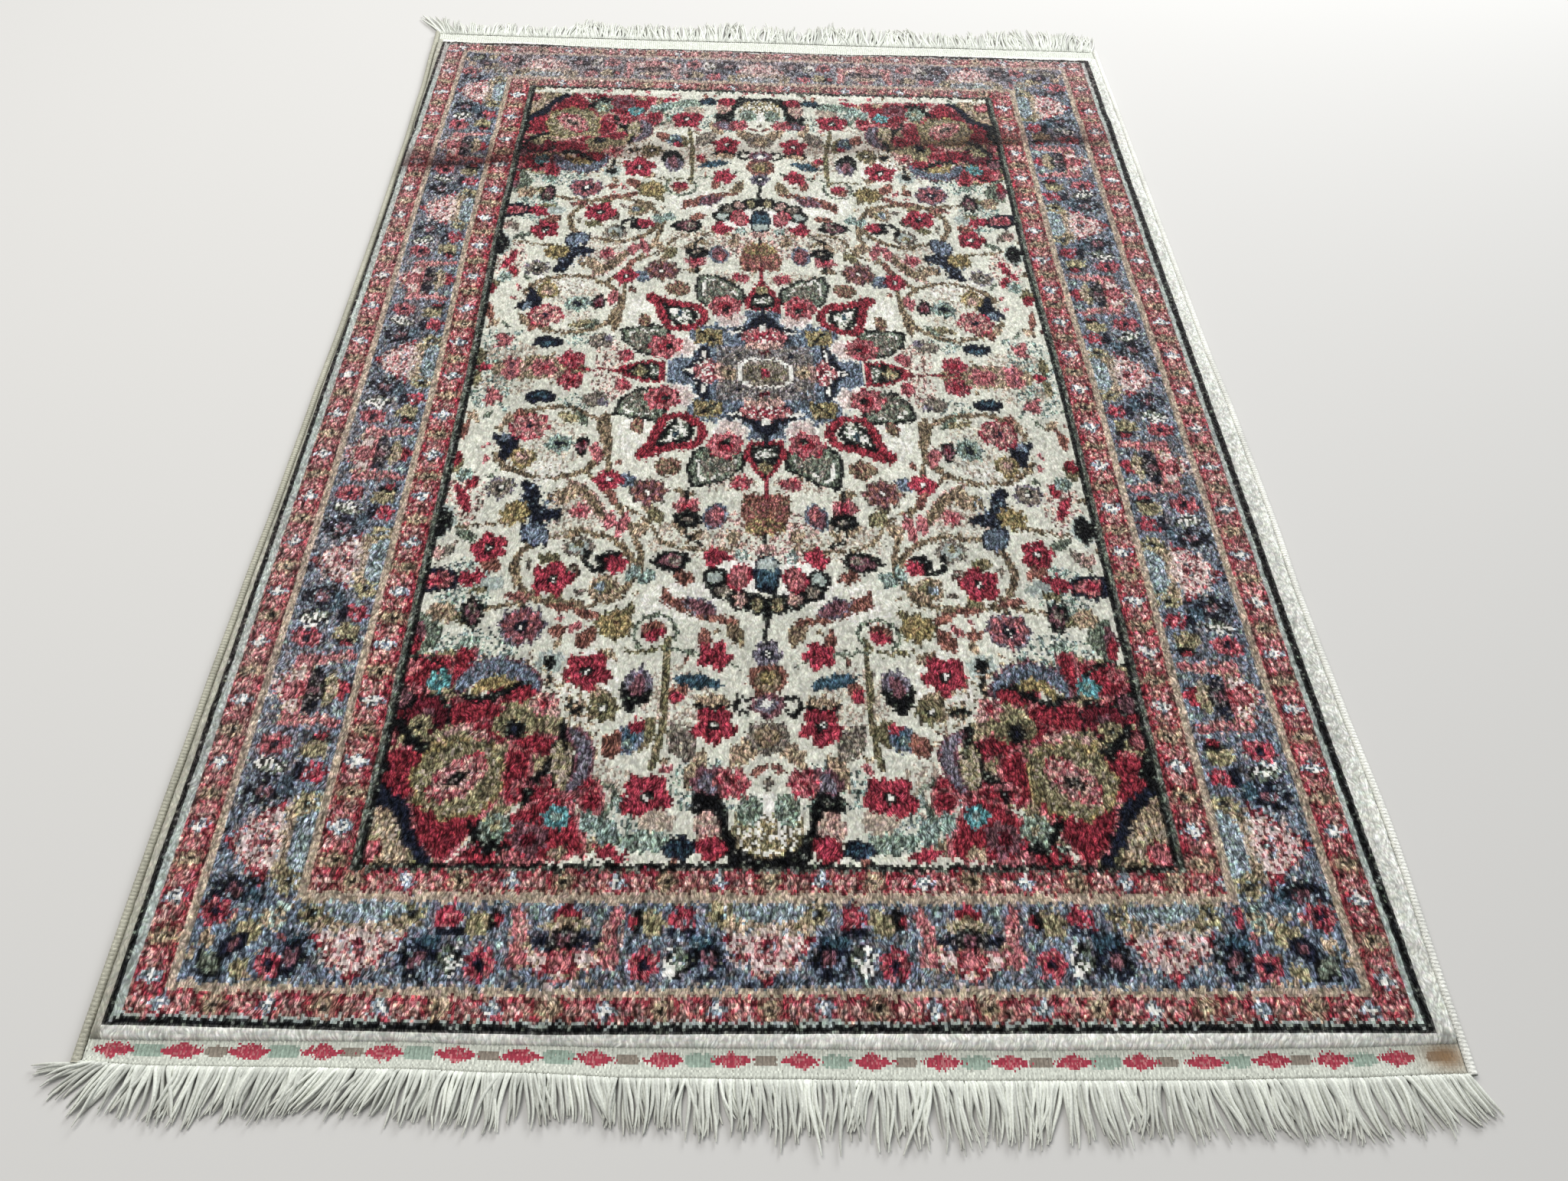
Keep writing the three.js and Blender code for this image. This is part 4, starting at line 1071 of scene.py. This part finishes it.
def pile_heights(x, y, across):
    """The height of each corner between knots."""
    share = (y - near_pile_end(across)) / (far_pile_end(across) - near_pile_end(across))
    height = PILE_HEIGHT + pile_swell(across, share)
    height += 0.30 * soft_noise(x, y, 34, 21) + 0.22 * soft_noise(x, y * 0.7, 9, 22)
    draw = np.random.default_rng(23)
    tufts = draw.normal(0, 1, (x.shape[0] + 2, x.shape[1]))
    to_side = np.minimum(x - cloth_left(y), cloth_right(y) - x)
    to_end = np.minimum(y - near_pile_end(across), far_pile_end(across) - y)
    loose = np.clip(np.minimum(to_side, to_end) / LOOSE_FROM_EDGE, 0.55, 1)
    tufts = TUFT_HEIGHT * (tufts[:-2] + 1.2 * tufts[1:-1] + tufts[2:])
    height += loose * (tufts + draw.normal(0, LOOSE_HEIGHT, x.shape))
    drop = np.minimum(rounding(to_side, SIDE_ROUNDING), rounding(to_end, END_ROUNDING))
    foot = FLATWEAVE_HEIGHT - PILE_FOOT_DROP
    return foot + (height - FLATWEAVE_HEIGHT + PILE_FOOT_DROP) * drop


# The wool
# The cut wool shows tufts of its own tone with painted shade in the gaps between them and a painted
# highlight on their tops, fine fibres along each, and a slight gloss. The knots' colours come from the
# mesh, and their alpha says how strong the tufts show.
def add_node(tree, kind, values=None, links=None, **settings):
    """Adds a node, sets its settings and sockets, and links other nodes' outputs into it."""
    node = tree.nodes.new(kind)
    for key, value in settings.items():
        setattr(node, key, value)
    for key, value in (values or {}).items():
        node.inputs[key].default_value = value
    for key, output in (links or {}).items():
        tree.links.new(output, node.inputs[key])
    return node


def fibre_group():
    """A node group of spun fibres: how light and how high the surface is, for fibres of a given size."""
    group = bpy.data.node_groups.new("spun_fibres", "ShaderNodeTree")
    for name, way, kind in (("Fibres to a metre", "INPUT", "Vector"), ("Contrast", "INPUT", "Float"),
                            ("Shade", "OUTPUT", "Float"), ("Height", "OUTPUT", "Float")):
        group.interface.new_socket(name, in_out=way, socket_type="NodeSocket" + kind)
    given = add_node(group, "NodeGroupInput")
    place = add_node(group, "ShaderNodeTexCoord")
    sized = add_node(group, "ShaderNodeVectorMath", {},
                     {0: place.outputs["Object"], 1: given.outputs["Fibres to a metre"]},
                     operation="MULTIPLY")
    noise = add_node(group, "ShaderNodeTexNoise", {"Scale": 1.0, "Detail": 3.0, "Roughness": 0.7},
                     {"Vector": sized.outputs["Vector"]})
    spread = add_node(group, "ShaderNodeMapRange",
                      {"From Min": 0.32, "From Max": 0.68, "To Min": -1.0, "To Max": 1.0},
                      {"Value": noise.outputs["Fac"]}, clamp=False)
    shade = add_node(group, "ShaderNodeMath", {2: 1.0},
                     {0: spread.outputs["Result"], 1: given.outputs["Contrast"]}, operation="MULTIPLY_ADD")
    add_node(group, "NodeGroupOutput", {},
             {"Shade": shade.outputs["Value"], "Height": noise.outputs["Fac"]})
    return group


fibres = fibre_group()


def add_fibres(tree, to_a_metre, contrast):
    """Places the spun fibres in a material, with their number to a metre on each axis."""
    return add_node(tree, "ShaderNodeGroup", {"Fibres to a metre": to_a_metre, "Contrast": contrast},
                    node_tree=fibres)


def shaded(tree, colour, shade):
    """A colour made lighter and darker by a shade."""
    mixed = add_node(tree, "ShaderNodeMix", {"Factor": 1.0}, data_type="RGBA", blend_type="MULTIPLY")
    tree.links.new(colour, mixed.inputs[6])
    tree.links.new(shade, mixed.inputs[7])
    return mixed.outputs[2]


wool_material, wool_shader = new_material("wool_pile")
wool_tree = wool_material.node_tree
yarn_colour = add_node(wool_tree, "ShaderNodeVertexColor", layer_name="yarn")
place = add_node(wool_tree, "ShaderNodeTexCoord")
sway = add_node(wool_tree, "ShaderNodeTexNoise", {"Scale": 70.0, "Detail": 2.0},
                {"Vector": place.outputs["Object"]})
leaned = add_node(wool_tree, "ShaderNodeVectorMath", {1: (0.010, 0.006, 0.0)},
                  {0: sway.outputs["Color"], 2: place.outputs["Object"]}, operation="MULTIPLY_ADD")
tuft_place = add_node(wool_tree, "ShaderNodeVectorMath", {1: (760.0, 300.0, 0.0)},
                      {0: leaned.outputs["Vector"]}, operation="MULTIPLY")
tufts = add_node(wool_tree, "ShaderNodeTexVoronoi", {"Scale": 1.0},
                 {"Vector": tuft_place.outputs["Vector"]}, feature="F1")
tuft_top = add_node(wool_tree, "ShaderNodeMapRange",
                    {"From Min": 0.18, "From Max": 0.80, "To Min": 1.0, "To Max": 0.0},
                    {"Value": tufts.outputs["Distance"]})
tuft_parts = add_node(wool_tree, "ShaderNodeSeparateColor", {}, {"Color": tufts.outputs["Color"]})
tuft_tone = add_node(wool_tree, "ShaderNodeMapRange", {"To Min": 0.66, "To Max": 1.34},
                     {"Value": tuft_parts.outputs["Red"]})
# Painted shade in the gaps between tufts and a painted highlight on their tops, in the base colour.
tuft_shade = add_node(wool_tree, "ShaderNodeMapRange", {"To Min": 0.16, "To Max": 1.22},
                      {"Value": tuft_top.outputs["Result"]})
silk = add_fibres(wool_tree, (2300.0, 420.0, 200.0), 0.40)
tufted = add_node(wool_tree, "ShaderNodeMath", {},
                  {0: tuft_tone.outputs["Result"], 1: tuft_shade.outputs["Result"]}, operation="MULTIPLY")
full_shade = add_node(wool_tree, "ShaderNodeMath", {},
                      {0: tufted.outputs["Value"], 1: silk.outputs["Shade"]}, operation="MULTIPLY")
shade = add_node(wool_tree, "ShaderNodeMix", {2: 0.86},
                 {0: yarn_colour.outputs["Alpha"], 3: full_shade.outputs["Value"]}, data_type="FLOAT")
wool_tree.links.new(shaded(wool_tree, yarn_colour.outputs["Color"], shade.outputs[0]),
                    wool_shader.inputs["Base Color"])
height = add_node(wool_tree, "ShaderNodeMath", {1: 0.6},
                  {0: silk.outputs["Height"], 2: tuft_top.outputs["Result"]}, operation="MULTIPLY_ADD")
bump = add_node(wool_tree, "ShaderNodeBump", {"Distance": 0.0013},
                {"Strength": yarn_colour.outputs["Alpha"], "Height": height.outputs["Value"]})
wool_tree.links.new(bump.outputs["Normal"], wool_shader.inputs["Normal"])
wool_shader.inputs["Roughness"].default_value = 0.5
wool_shader.inputs["Specular IOR Level"].default_value = 0.04
wool_shader.inputs["Sheen Weight"].default_value = 0.015
wool_shader.inputs["Sheen Roughness"].default_value = 0.35

# The pile's pieces
# The pile is parted into the four borders and the two halves of the field, each a sheet of knots. A knot's
# colour is mixed with its neighbours' at its corners, where tufts lean together, with painted shade in
# hollows and a painted highlight where the pile stands out.
OWN_COLOUR_SHARE, HOLLOW_REACH = 0.7, 2


def corners_of(values):
    """For every knot, the values at its four corners: near left, near right, far right, far left."""
    return [values[:-1, :-1], values[:-1, 1:], values[1:, 1:], values[1:, :-1]]


def corner_light(light):
    """Each knot's four corners, its own colour mixed with its neighbours'."""
    padded = np.pad(light, ((1, 1), (1, 1), (0, 0)), mode="edge")
    crossing = (padded[:-1, :-1] + padded[1:, :-1] + padded[:-1, 1:] + padded[1:, 1:]) / 4
    mixed = [OWN_COLOUR_SHARE * light + (1 - OWN_COLOUR_SHARE) * corner for corner in corners_of(crossing)]
    return np.stack(mixed, axis=2)


def hollow_shade(heights):
    """Painted shade where a corner lies lower than the pile around it, and a painted highlight where it
    stands out.
    """
    padded = np.pad(heights, HOLLOW_REACH, mode="edge")
    reach = range(2 * HOLLOW_REACH + 1)
    windows = (padded[r:r + heights.shape[0], c:c + heights.shape[1]] for r in reach for c in reach)
    around = sum(windows) / len(reach) ** 2
    return np.stack(corners_of(np.clip(1 + heights - around, 0.2, 1.7)), axis=-1)


def grid_faces(rows, columns, start=0):
    """The quads of a sheet of points laid out in rows, seen from above."""
    corner = start + np.arange(rows - 1)[:, None] * columns + np.arange(columns - 1)[None, :]
    return np.stack([corner, corner + 1, corner + columns + 1, corner + columns], axis=-1).reshape(-1, 4)


def add_piece(name, points, faces, material, colours, flat_map=True):
    """Makes a mesh object from points in millimetres, with a colour for each corner of each face."""
    points, faces = np.asarray(points, float), np.asarray(faces, int)
    mesh = bpy.data.meshes.new(name)
    mesh.from_pydata(to_metres(points).tolist(), [], faces.tolist())
    mesh.polygons.foreach_set("use_smooth", np.ones(len(faces), bool))
    layer = mesh.color_attributes.new(name="yarn", type="FLOAT_COLOR", domain="CORNER")
    if colours.shape[-1] == 3:
        colours = np.concatenate([colours, np.ones(colours.shape[:-1] + (1,))], axis=-1)
    layer.data.foreach_set("color", colours.ravel())
    if flat_map:
        low, high = points.min(axis=0), points.max(axis=0)
        share = (points[:, :2] - low[:2]) / (high[:2] - low[:2])
        mesh.uv_layers.new(name="OFBake").data.foreach_set("uv", share[faces.ravel()].ravel())
    mesh.materials.append(material)
    mesh.update()
    piece = bpy.data.objects.new(name, mesh)
    bpy.context.scene.collection.objects.link(piece)
    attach(piece, "root")
    return piece


pile_x, pile_y, pile_across = pile_plan()
pile_z = pile_heights(pile_x, pile_y, pile_across)
knot_yarn = charted_yarns()
knot_light = wool_colours(knot_yarn)
knot_contrast = np.repeat(CONTRAST[knot_yarn][..., None, None], 4, axis=2)
painted_hollow_shade = hollow_shade(pile_z)[..., None]
# Painted shade and highlight from the pile's hollows and crests, as strong as the yarn's tufts show.
knot_corners = corner_light(knot_light) * (1 + (painted_hollow_shade - 1) * knot_contrast)
knot_corners = np.concatenate([knot_corners, knot_contrast], axis=-1)
pile_points = np.stack([pile_x, pile_y, pile_z], axis=-1)

near_border, far_border = NEAR_KNOTS + sum(END_BANDS), rows - FAR_KNOTS - sum(END_BANDS)
left_border, right_border = LEFT_KNOTS + sum(SIDE_BANDS), columns - RIGHT_KNOTS - sum(SIDE_BANDS)
half_way = rows // 2
for name, row_from, row_to, column_from, column_to in (
        ("pile_border_near", 0, near_border, 0, columns),
        ("pile_border_far", far_border, rows, 0, columns),
        ("pile_border_left", near_border, far_border, 0, left_border),
        ("pile_border_right", near_border, far_border, right_border, columns),
        ("pile_field_near", near_border, half_way, left_border, right_border),
        ("pile_field_far", half_way, far_border, left_border, right_border)):
    points = pile_points[row_from:row_to + 1, column_from:column_to + 1]
    colours = knot_corners[row_from:row_to, column_from:column_to]
    add_piece(name, points.reshape(-1, 3), grid_faces(*points.shape[:2]), wool_material,
                                  colours)

# The foundation
# The cotton warps and wefts that carry the knots: a thin stiff cloth under the pile. Its back shows the
# knots' loops, so the pattern shows there too, a little paler.
BACK_ROWS, BACK_COLUMNS, BACK_HEIGHT, BACK_LIFT = 180, 110, 2.0, 0.05
COTTON_IN_BACK = 0.2


def on_each_corner(light):
    """One colour for each face, given to its four corners."""
    return np.repeat(light.reshape(-1, 1, 3), 4, axis=1)


back_across, back_along = np.meshgrid(np.linspace(0, 1, BACK_COLUMNS + 1), np.linspace(0, 1, BACK_ROWS + 1))
back_near, back_far = near_weave_end(back_across), far_weave_end(back_across)
back_y = back_near + (back_far - back_near) * back_along
back_x = over_cloth(back_y, back_across)
back_low = np.stack([back_x, back_y, np.full(back_x.shape, BACK_LIFT)], axis=-1).reshape(-1, 3)
back_high = back_low + np.array([0, 0, BACK_HEIGHT])
count = len(back_low)
under = grid_faces(BACK_ROWS + 1, BACK_COLUMNS + 1)[:, ::-1]
over = grid_faces(BACK_ROWS + 1, BACK_COLUMNS + 1, count)
index = np.arange(count).reshape(BACK_ROWS + 1, BACK_COLUMNS + 1)
rim = np.concatenate([index[0, :-1], index[:-1, -1], index[-1, :0:-1], index[:0:-1, 0]])
beyond = np.roll(rim, -1)
walls = np.stack([rim, beyond, beyond + count, rim + count], axis=-1)
middle_y = (back_y[:-1, :-1] + back_y[1:, 1:]) / 2
middle_x = (back_x[:-1, :-1] + back_x[1:, 1:]) / 2
knot_row = np.clip((middle_y / KNOT_LENGTH).astype(int) + NEAR_KNOTS, 0, rows - 1)
knot_column = np.clip((middle_x / KNOT_WIDTH).astype(int) + LEFT_KNOTS, 0, columns - 1)
cotton = linear((206, 200, 186))
loops = (1 - COTTON_IN_BACK) * on_each_corner(knot_light[knot_row, knot_column]) + COTTON_IN_BACK * cotton
plain = np.broadcast_to(cotton, (len(over) + len(walls), 4, 3))
foundation = add_piece("woven_foundation", np.concatenate([back_low, back_high]),
                       np.concatenate([under, over, walls]), wool_material,
                       np.concatenate([loops, plain]))
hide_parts("knotted_cloth")

# The flatwoven ends
# Short plain-woven strips beyond the pile, tucked a little under it, with two rows of chain stitch along
# the fringe. At the near end a row of red lozenges stands between pale green and taupe blocks.
WEAVE_ROWS, WEAVE_COLUMNS, WEAVE_TUCK = 16, 868, 0.25
RIB_WIDTH, RIB_HEIGHT, WEAVE_UNEVENNESS, CLOSED_EDGE_HEIGHT = 2.4, 0.26, 0.12, 0.6
CHAIN_LENGTH, CHAIN_PART, CHAIN_SLANT = 2.6, 0.66, 1.1
LOZENGE_ROW, RAGGEDNESS, ROSE_IN_LOZENGE = 0.38, 0.16, 0.3
LOZENGES = (.012, .061, .109, .162, .207, .26, .308, .362, .413, .463, .515, .568, .62, .671, .719, .769,
            .818, .87, .916, .967)
GREEN_BLOCKS = (.036, .134, .232, .335, .44, .541, .645, .743, .842, .939)
TAUPE_BLOCKS = (.086, .184, .284, .386, .488, .593, .694, .789, .892, .998)
WOVEN_MARKS = (  # places across the frame, yarn, half width, half length, how square
    (TAUPE_BLOCKS, "taupe", 6.5, 2.8, 3), (GREEN_BLOCKS, "pale_green", 8.5, 3.4, 5),
    (LOZENGES, "red", 11.5, 4.4, 1.15))
STAIN_BEYOND_FRAME, STAIN_Y, STAIN_WIDTH, STAIN_LENGTH = 4, -17, 14, 9


def yarn_material(name, fibres_to_a_metre, contrast, roughness, bump_strength=0, bump_height=0):
    """Wool or cotton yarn in the mesh's own colours, with the light and shade of its fibres."""
    material, shader = new_material(name)
    tree = material.node_tree
    colour = add_node(tree, "ShaderNodeVertexColor", layer_name="yarn")
    spun = add_fibres(tree, fibres_to_a_metre, contrast)
    fibrous = shaded(tree, colour.outputs["Color"], spun.outputs["Shade"])
    tree.links.new(fibrous, shader.inputs["Base Color"])
    if bump_strength:
        relief = add_node(tree, "ShaderNodeBump", {"Strength": bump_strength, "Distance": bump_height},
                          {"Height": spun.outputs["Height"]})
        tree.links.new(relief.outputs["Normal"], shader.inputs["Normal"])
    shader.inputs["Roughness"].default_value = roughness
    shader.inputs["Specular IOR Level"].default_value = 0.15
    return material


weave_material = yarn_material("flatwoven_wool", (900.0, 420.0, 300.0), 0.16, 0.85, 0.7, 0.0006)


def flatweave(name, pile_end, weave_end, outward, seed):
    """One flatwoven end. Outward is -1 at the near end, which has the woven marks and a stain."""
    draw = np.random.default_rng(seed)
    across, deep = np.meshgrid(np.linspace(0, 1, WEAVE_COLUMNS + 1),
                               np.linspace(-WEAVE_TUCK, 1, WEAVE_ROWS + 1))
    inner, outer = pile_end(across), weave_end(across)
    y = inner + (outer - inner) * deep
    x = over_cloth(y, across)
    slant = np.where(deep > CHAIN_PART, CHAIN_SLANT * np.abs((y / CHAIN_LENGTH) % 1 - 0.5), 0)
    rib = np.cos(2 * np.pi * (x / RIB_WIDTH + slant) + 0.6 * soft_noise(x, y, 20, seed))
    z = FLATWEAVE_HEIGHT + RIB_HEIGHT * rib + WEAVE_UNEVENNESS * draw.normal(0, 1, x.shape)
    z[-1] = CLOSED_EDGE_HEIGHT
    faces = grid_faces(*x.shape)
    mx, my = (x[:-1, :-1] + x[1:, 1:]) / 2, (y[:-1, :-1] + y[1:, 1:]) / 2
    light = np.broadcast_to(linear((214, 217, 205)), mx.shape + (3,)).copy()
    stain = np.zeros(mx.shape)
    if outward < 0:
        faces = faces[:, ::-1]
        middle = (inner + (outer - inner) * LOZENGE_ROW)[:-1, :-1]
        ragged = RAGGEDNESS * draw.normal(0, 1, mx.shape)
        for places, yarn, wide, long, square in WOVEN_MARKS:
            nearest = np.min(np.abs((mx / FRAME_WIDTH)[..., None] - np.array(places)), axis=-1)
            off = nearest * FRAME_WIDTH / wide
            inside = off ** square + (np.abs(my - middle) / long) ** square + ragged < 1
            light[inside] = YARN_LIGHT[NUMBER[yarn]]
        rosy = inside & (off < 0.5) & (draw.random(mx.shape) < ROSE_IN_LOZENGE)
        light[rosy] = YARN_LIGHT[NUMBER["rose"]]
        stain_across = (mx - FRAME_WIDTH - STAIN_BEYOND_FRAME) / STAIN_WIDTH
        stain = np.exp(-stain_across ** 2 - ((my - STAIN_Y) / STAIN_LENGTH) ** 2)
    # Painted shade in the hollows between the ribs.
    painted_rib_shade = 0.86 + 0.14 * rib[:-1, :-1]
    light = light * (painted_rib_shade * (1 + 0.10 * draw.normal(0, 1, mx.shape)))[..., None]
    light += stain[..., None] * (linear((138, 112, 84)) - light)
    points = np.stack([x, y, z], axis=-1).reshape(-1, 3)
    return add_piece(name, points, faces, weave_material, on_each_corner(light))


flatweave_near = flatweave("flatweave_near", near_pile_end, near_weave_end, -1, 41)
flatweave_far = flatweave("flatweave_far", far_pile_end, far_weave_end, 1, 42)

# The selvedges
# Each side is bound with cotton, overcast round the outer warps: white at the right, and worn to a dull
# grey-green at the left.
SELVEDGE_STEP, SELVEDGE_SIDES, WRAP_PITCH = 0.8, 10, 2.4
WRAP_LEAST, WRAP_SWELL = 0.93, 0.09
cotton_material = yarn_material("cotton_binding", (700.0, 1100.0, 700.0), 0.2, 0.85)


def tube_faces(rings, sides, start=0):
    """The quads of a tube: rings of points, each joined to the next."""
    ring = np.arange(sides)
    first = start + np.arange(rings - 1)[:, None] * sides
    a, b = first + ring, first + (ring + 1) % sides
    return np.stack([a, b, b + sides, a + sides], axis=-1).reshape(-1, 4)


def selvedge(name, bound, inward, node, colour, seed):
    """One overcast side. Inward is 1 at the left and -1 at the right."""
    end = 0 if inward > 0 else 1
    low, high = float(near_weave_end(end)), float(far_weave_end(end))
    y = np.linspace(low, high, int((high - low) / SELVEDGE_STEP))[:, None]
    turn = -(np.arange(SELVEDGE_SIDES) + 0.5) / SELVEDGE_SIDES * 2 * np.pi
    wrap = np.abs(np.sin(np.pi * (y + 0.5 * np.sin(turn) * WRAP_PITCH) / WRAP_PITCH))
    swell = WRAP_LEAST + WRAP_SWELL * wrap
    x = bound(y) + inward * SELVEDGE_WIDTH / 2 + SELVEDGE_WIDTH / 2 * np.cos(turn) * swell
    z = SELVEDGE_HEIGHT / 2 * (1 + np.sin(turn) * swell)
    points = np.stack([x, np.broadcast_to(y, x.shape), np.maximum(z, 0.02)], axis=-1).reshape(-1, 3)
    draw = np.random.default_rng(seed)
    # Painted shade in the grooves between the wraps, with an uneven tone from wrap to wrap.
    tone = (0.62 + 0.38 * wrap[:-1]) * (1 + 0.08 * draw.normal(0, 1, wrap[:-1].shape))
    tone *= 1 + 0.12 * soft_noise(y[:-1], 0 * y[:-1], 30, seed)
    light = tone[..., None] * linear(colour)
    piece = add_piece(name, points, tube_faces(len(y), SELVEDGE_SIDES), cotton_material,
                      on_each_corner(light), False)
    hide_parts(node)
    return piece


selvedges = [selvedge("overcast_left", left_bound, 1, "selvedge_left", (178, 176, 160), 44),
             selvedge("overcast_right", right_bound, -1, "selvedge_right", (232, 232, 224), 45)]

# The fringes
# The cotton warps run on past the flatweave in loose yarns, which gather into uneven locks. The locks'
# length and lean change along each end, and their tips are a little soiled.
NEAR_FRINGE = (  # across, length, angle from straight out
    (0.000, 26, -84), (0.010, 28, -58), (0.025, 28, -30), (0.050, 26, -6), (0.12, 25, -12), (0.16, 25, -24),
    (0.20, 25, -26), (0.26, 27, -8), (0.34, 25, 9), (0.42, 26, 10), (0.50, 28, 6), (0.56, 29, -3),
    (0.62, 30, 3), (0.75, 29, 0), (0.82, 30, 14), (0.88, 30, 2), (0.95, 29, 10), (0.985, 29, 20),
    (1.000, 27, 34))
FAR_FRINGE = (  # across, length, angle from straight out
    (0.000, 56, -26), (0.015, 44, -20), (0.030, 28, -12), (0.10, 28, -4), (0.17, 29, -4), (0.22, 44, -3),
    (0.27, 33, -5), (0.32, 40, -9), (0.38, 33, -6), (0.43, 46, -1), (0.50, 42, 0), (0.54, 30, 3),
    (0.59, 50, 2), (0.65, 44, 3), (0.73, 42, 0), (0.78, 34, 1), (0.86, 46, 3), (0.95, 49, 6),
    (1.000, 42, 18))
LOCK_COUNT, YARNS_IN_LOCK, LOCK_OVERLAP, LOCK_GATHERING = 96, 7, 1.2, 7.9
STRAY_LOCKS, STRAY_YARN, STRAY_GAIN = (47, 49, 51, 55, 57), 3, 1.34
YARN_RADIUS, YARN_TAPER, YARN_STEPS, YARN_SIDES, YARN_ROOT = 1.15, 0.72, 9, 5, 0.8
COTTON, SOILED = linear((226, 229, 219)), linear((150, 138, 122))
yarn_share = np.linspace(0, 1, YARN_STEPS + 1) ** 1.25
yarn_turn = (np.arange(YARN_SIDES) + 0.5) / YARN_SIDES * 2 * np.pi
warp_material = yarn_material("cotton_warp", (1100.0, 700.0, 700.0), 0.14, 0.8, 0.6, 0.0004)


def along_route(start, steps):
    """Places along a yarn, from its root and the step to each next place."""
    return start + np.concatenate([[0], np.cumsum(steps)])


def fringe(name, weave_end, table, outward, node, seed):
    """One fringe of locks of yarn. Outward is -1 at the near end and 1 at the far one."""
    draw = np.random.default_rng(seed)
    share = yarn_share
    points, faces, colours = [], [], []
    for lock in range(LOCK_COUNT):
        lock_lean, lock_length = draw.normal(0, 7), draw.uniform(0.84, 1.1)
        lock_bend, lock_wave = draw.normal(0, 14), draw.uniform(0, 6)
        gather, lock_tone = draw.uniform(-0.4, 0.5), draw.uniform(0.88, 1.04)
        for k in range(YARNS_IN_LOCK):
            # The yarn's root, its length and the way it heads from step to step.
            spread = (k + draw.uniform(0.2, 0.8)) / YARNS_IN_LOCK - 0.5
            across = float(np.clip((lock + 0.5 + LOCK_OVERLAP * spread) / LOCK_COUNT, 0.001, 0.999))
            root_y = float(weave_end(across)) - outward * YARN_ROOT
            root_x = float(over_cloth(root_y, across))
            length = float(between(table, 1, across)) * lock_length * draw.uniform(0.82, 1.06) + 3
            gathering = -math.degrees(math.atan2(spread * LOCK_GATHERING * gather, length * 0.7))
            if lock in STRAY_LOCKS and k == STRAY_YARN:
                length *= STRAY_GAIN
            aim = float(between(table, 2, across)) + lock_lean + gathering + draw.normal(0, 6)
            bend = (lock_bend + draw.normal(0, 8)) * (share - 0.5)
            wave = 5 * np.sin(share * 6 + lock_wave + draw.uniform(-0.5, 0.5))
            heading = np.radians(aim + bend + wave)
            step = length * np.diff(share)
            x = along_route(root_x, np.sin(heading[1:]) * step)
            y = along_route(root_y, outward * np.cos(heading[1:]) * step)
            # It rises over the closed edge, then lies down on the floor or over other yarns.
            mound = 0.4 + 3.6 * draw.random() * (1 - (1.4 * spread) ** 2)
            z = np.interp(share, [0, 0.08, 0.2, 0.5, 1],
                          [1.6, 2.6 + 0.3 * mound, 1.4 + 0.6 * mound, 0.7 + 0.9 * mound, 0.5 + 0.5 * mound])
            radius = (YARN_RADIUS * (1 - YARN_TAPER * share ** 4) * draw.uniform(0.8, 1.1))[:, None]
            px = x[:, None] + radius * np.cos(yarn_turn) * np.cos(heading)[:, None]
            py = y[:, None] + radius * np.cos(yarn_turn) * -outward * np.sin(heading)[:, None]
            pz = np.maximum(z[:, None] + radius * np.sin(yarn_turn), 0.03)
            faces.append(tube_faces(YARN_STEPS + 1, YARN_SIDES, sum(len(p) for p in points)))
            points.append(np.stack([px, py, pz], axis=-1).reshape(-1, 3))
            # Its cotton is soiled towards the tip.
            soil = np.interp(share[:-1], [0, 0.6, 1], [0, 0.08, draw.uniform(0.05, 0.45)])[:, None, None]
            light = COTTON * lock_tone * draw.uniform(0.68, 1.08) * (1 - soil) + SOILED * soil
            colours.append(on_each_corner(np.repeat(light, YARN_SIDES, axis=1)))
    piece = add_piece(name, np.concatenate(points), np.concatenate(faces), warp_material,
                      np.concatenate(colours), False)
    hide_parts(node)
    return piece


fringes = [fringe("warp_fringe_near", near_weave_end, NEAR_FRINGE, -1, "fringe_near", 51),
           fringe("warp_fringe_far", far_weave_end, FAR_FRINGE, 1, "fringe_far", 52)]
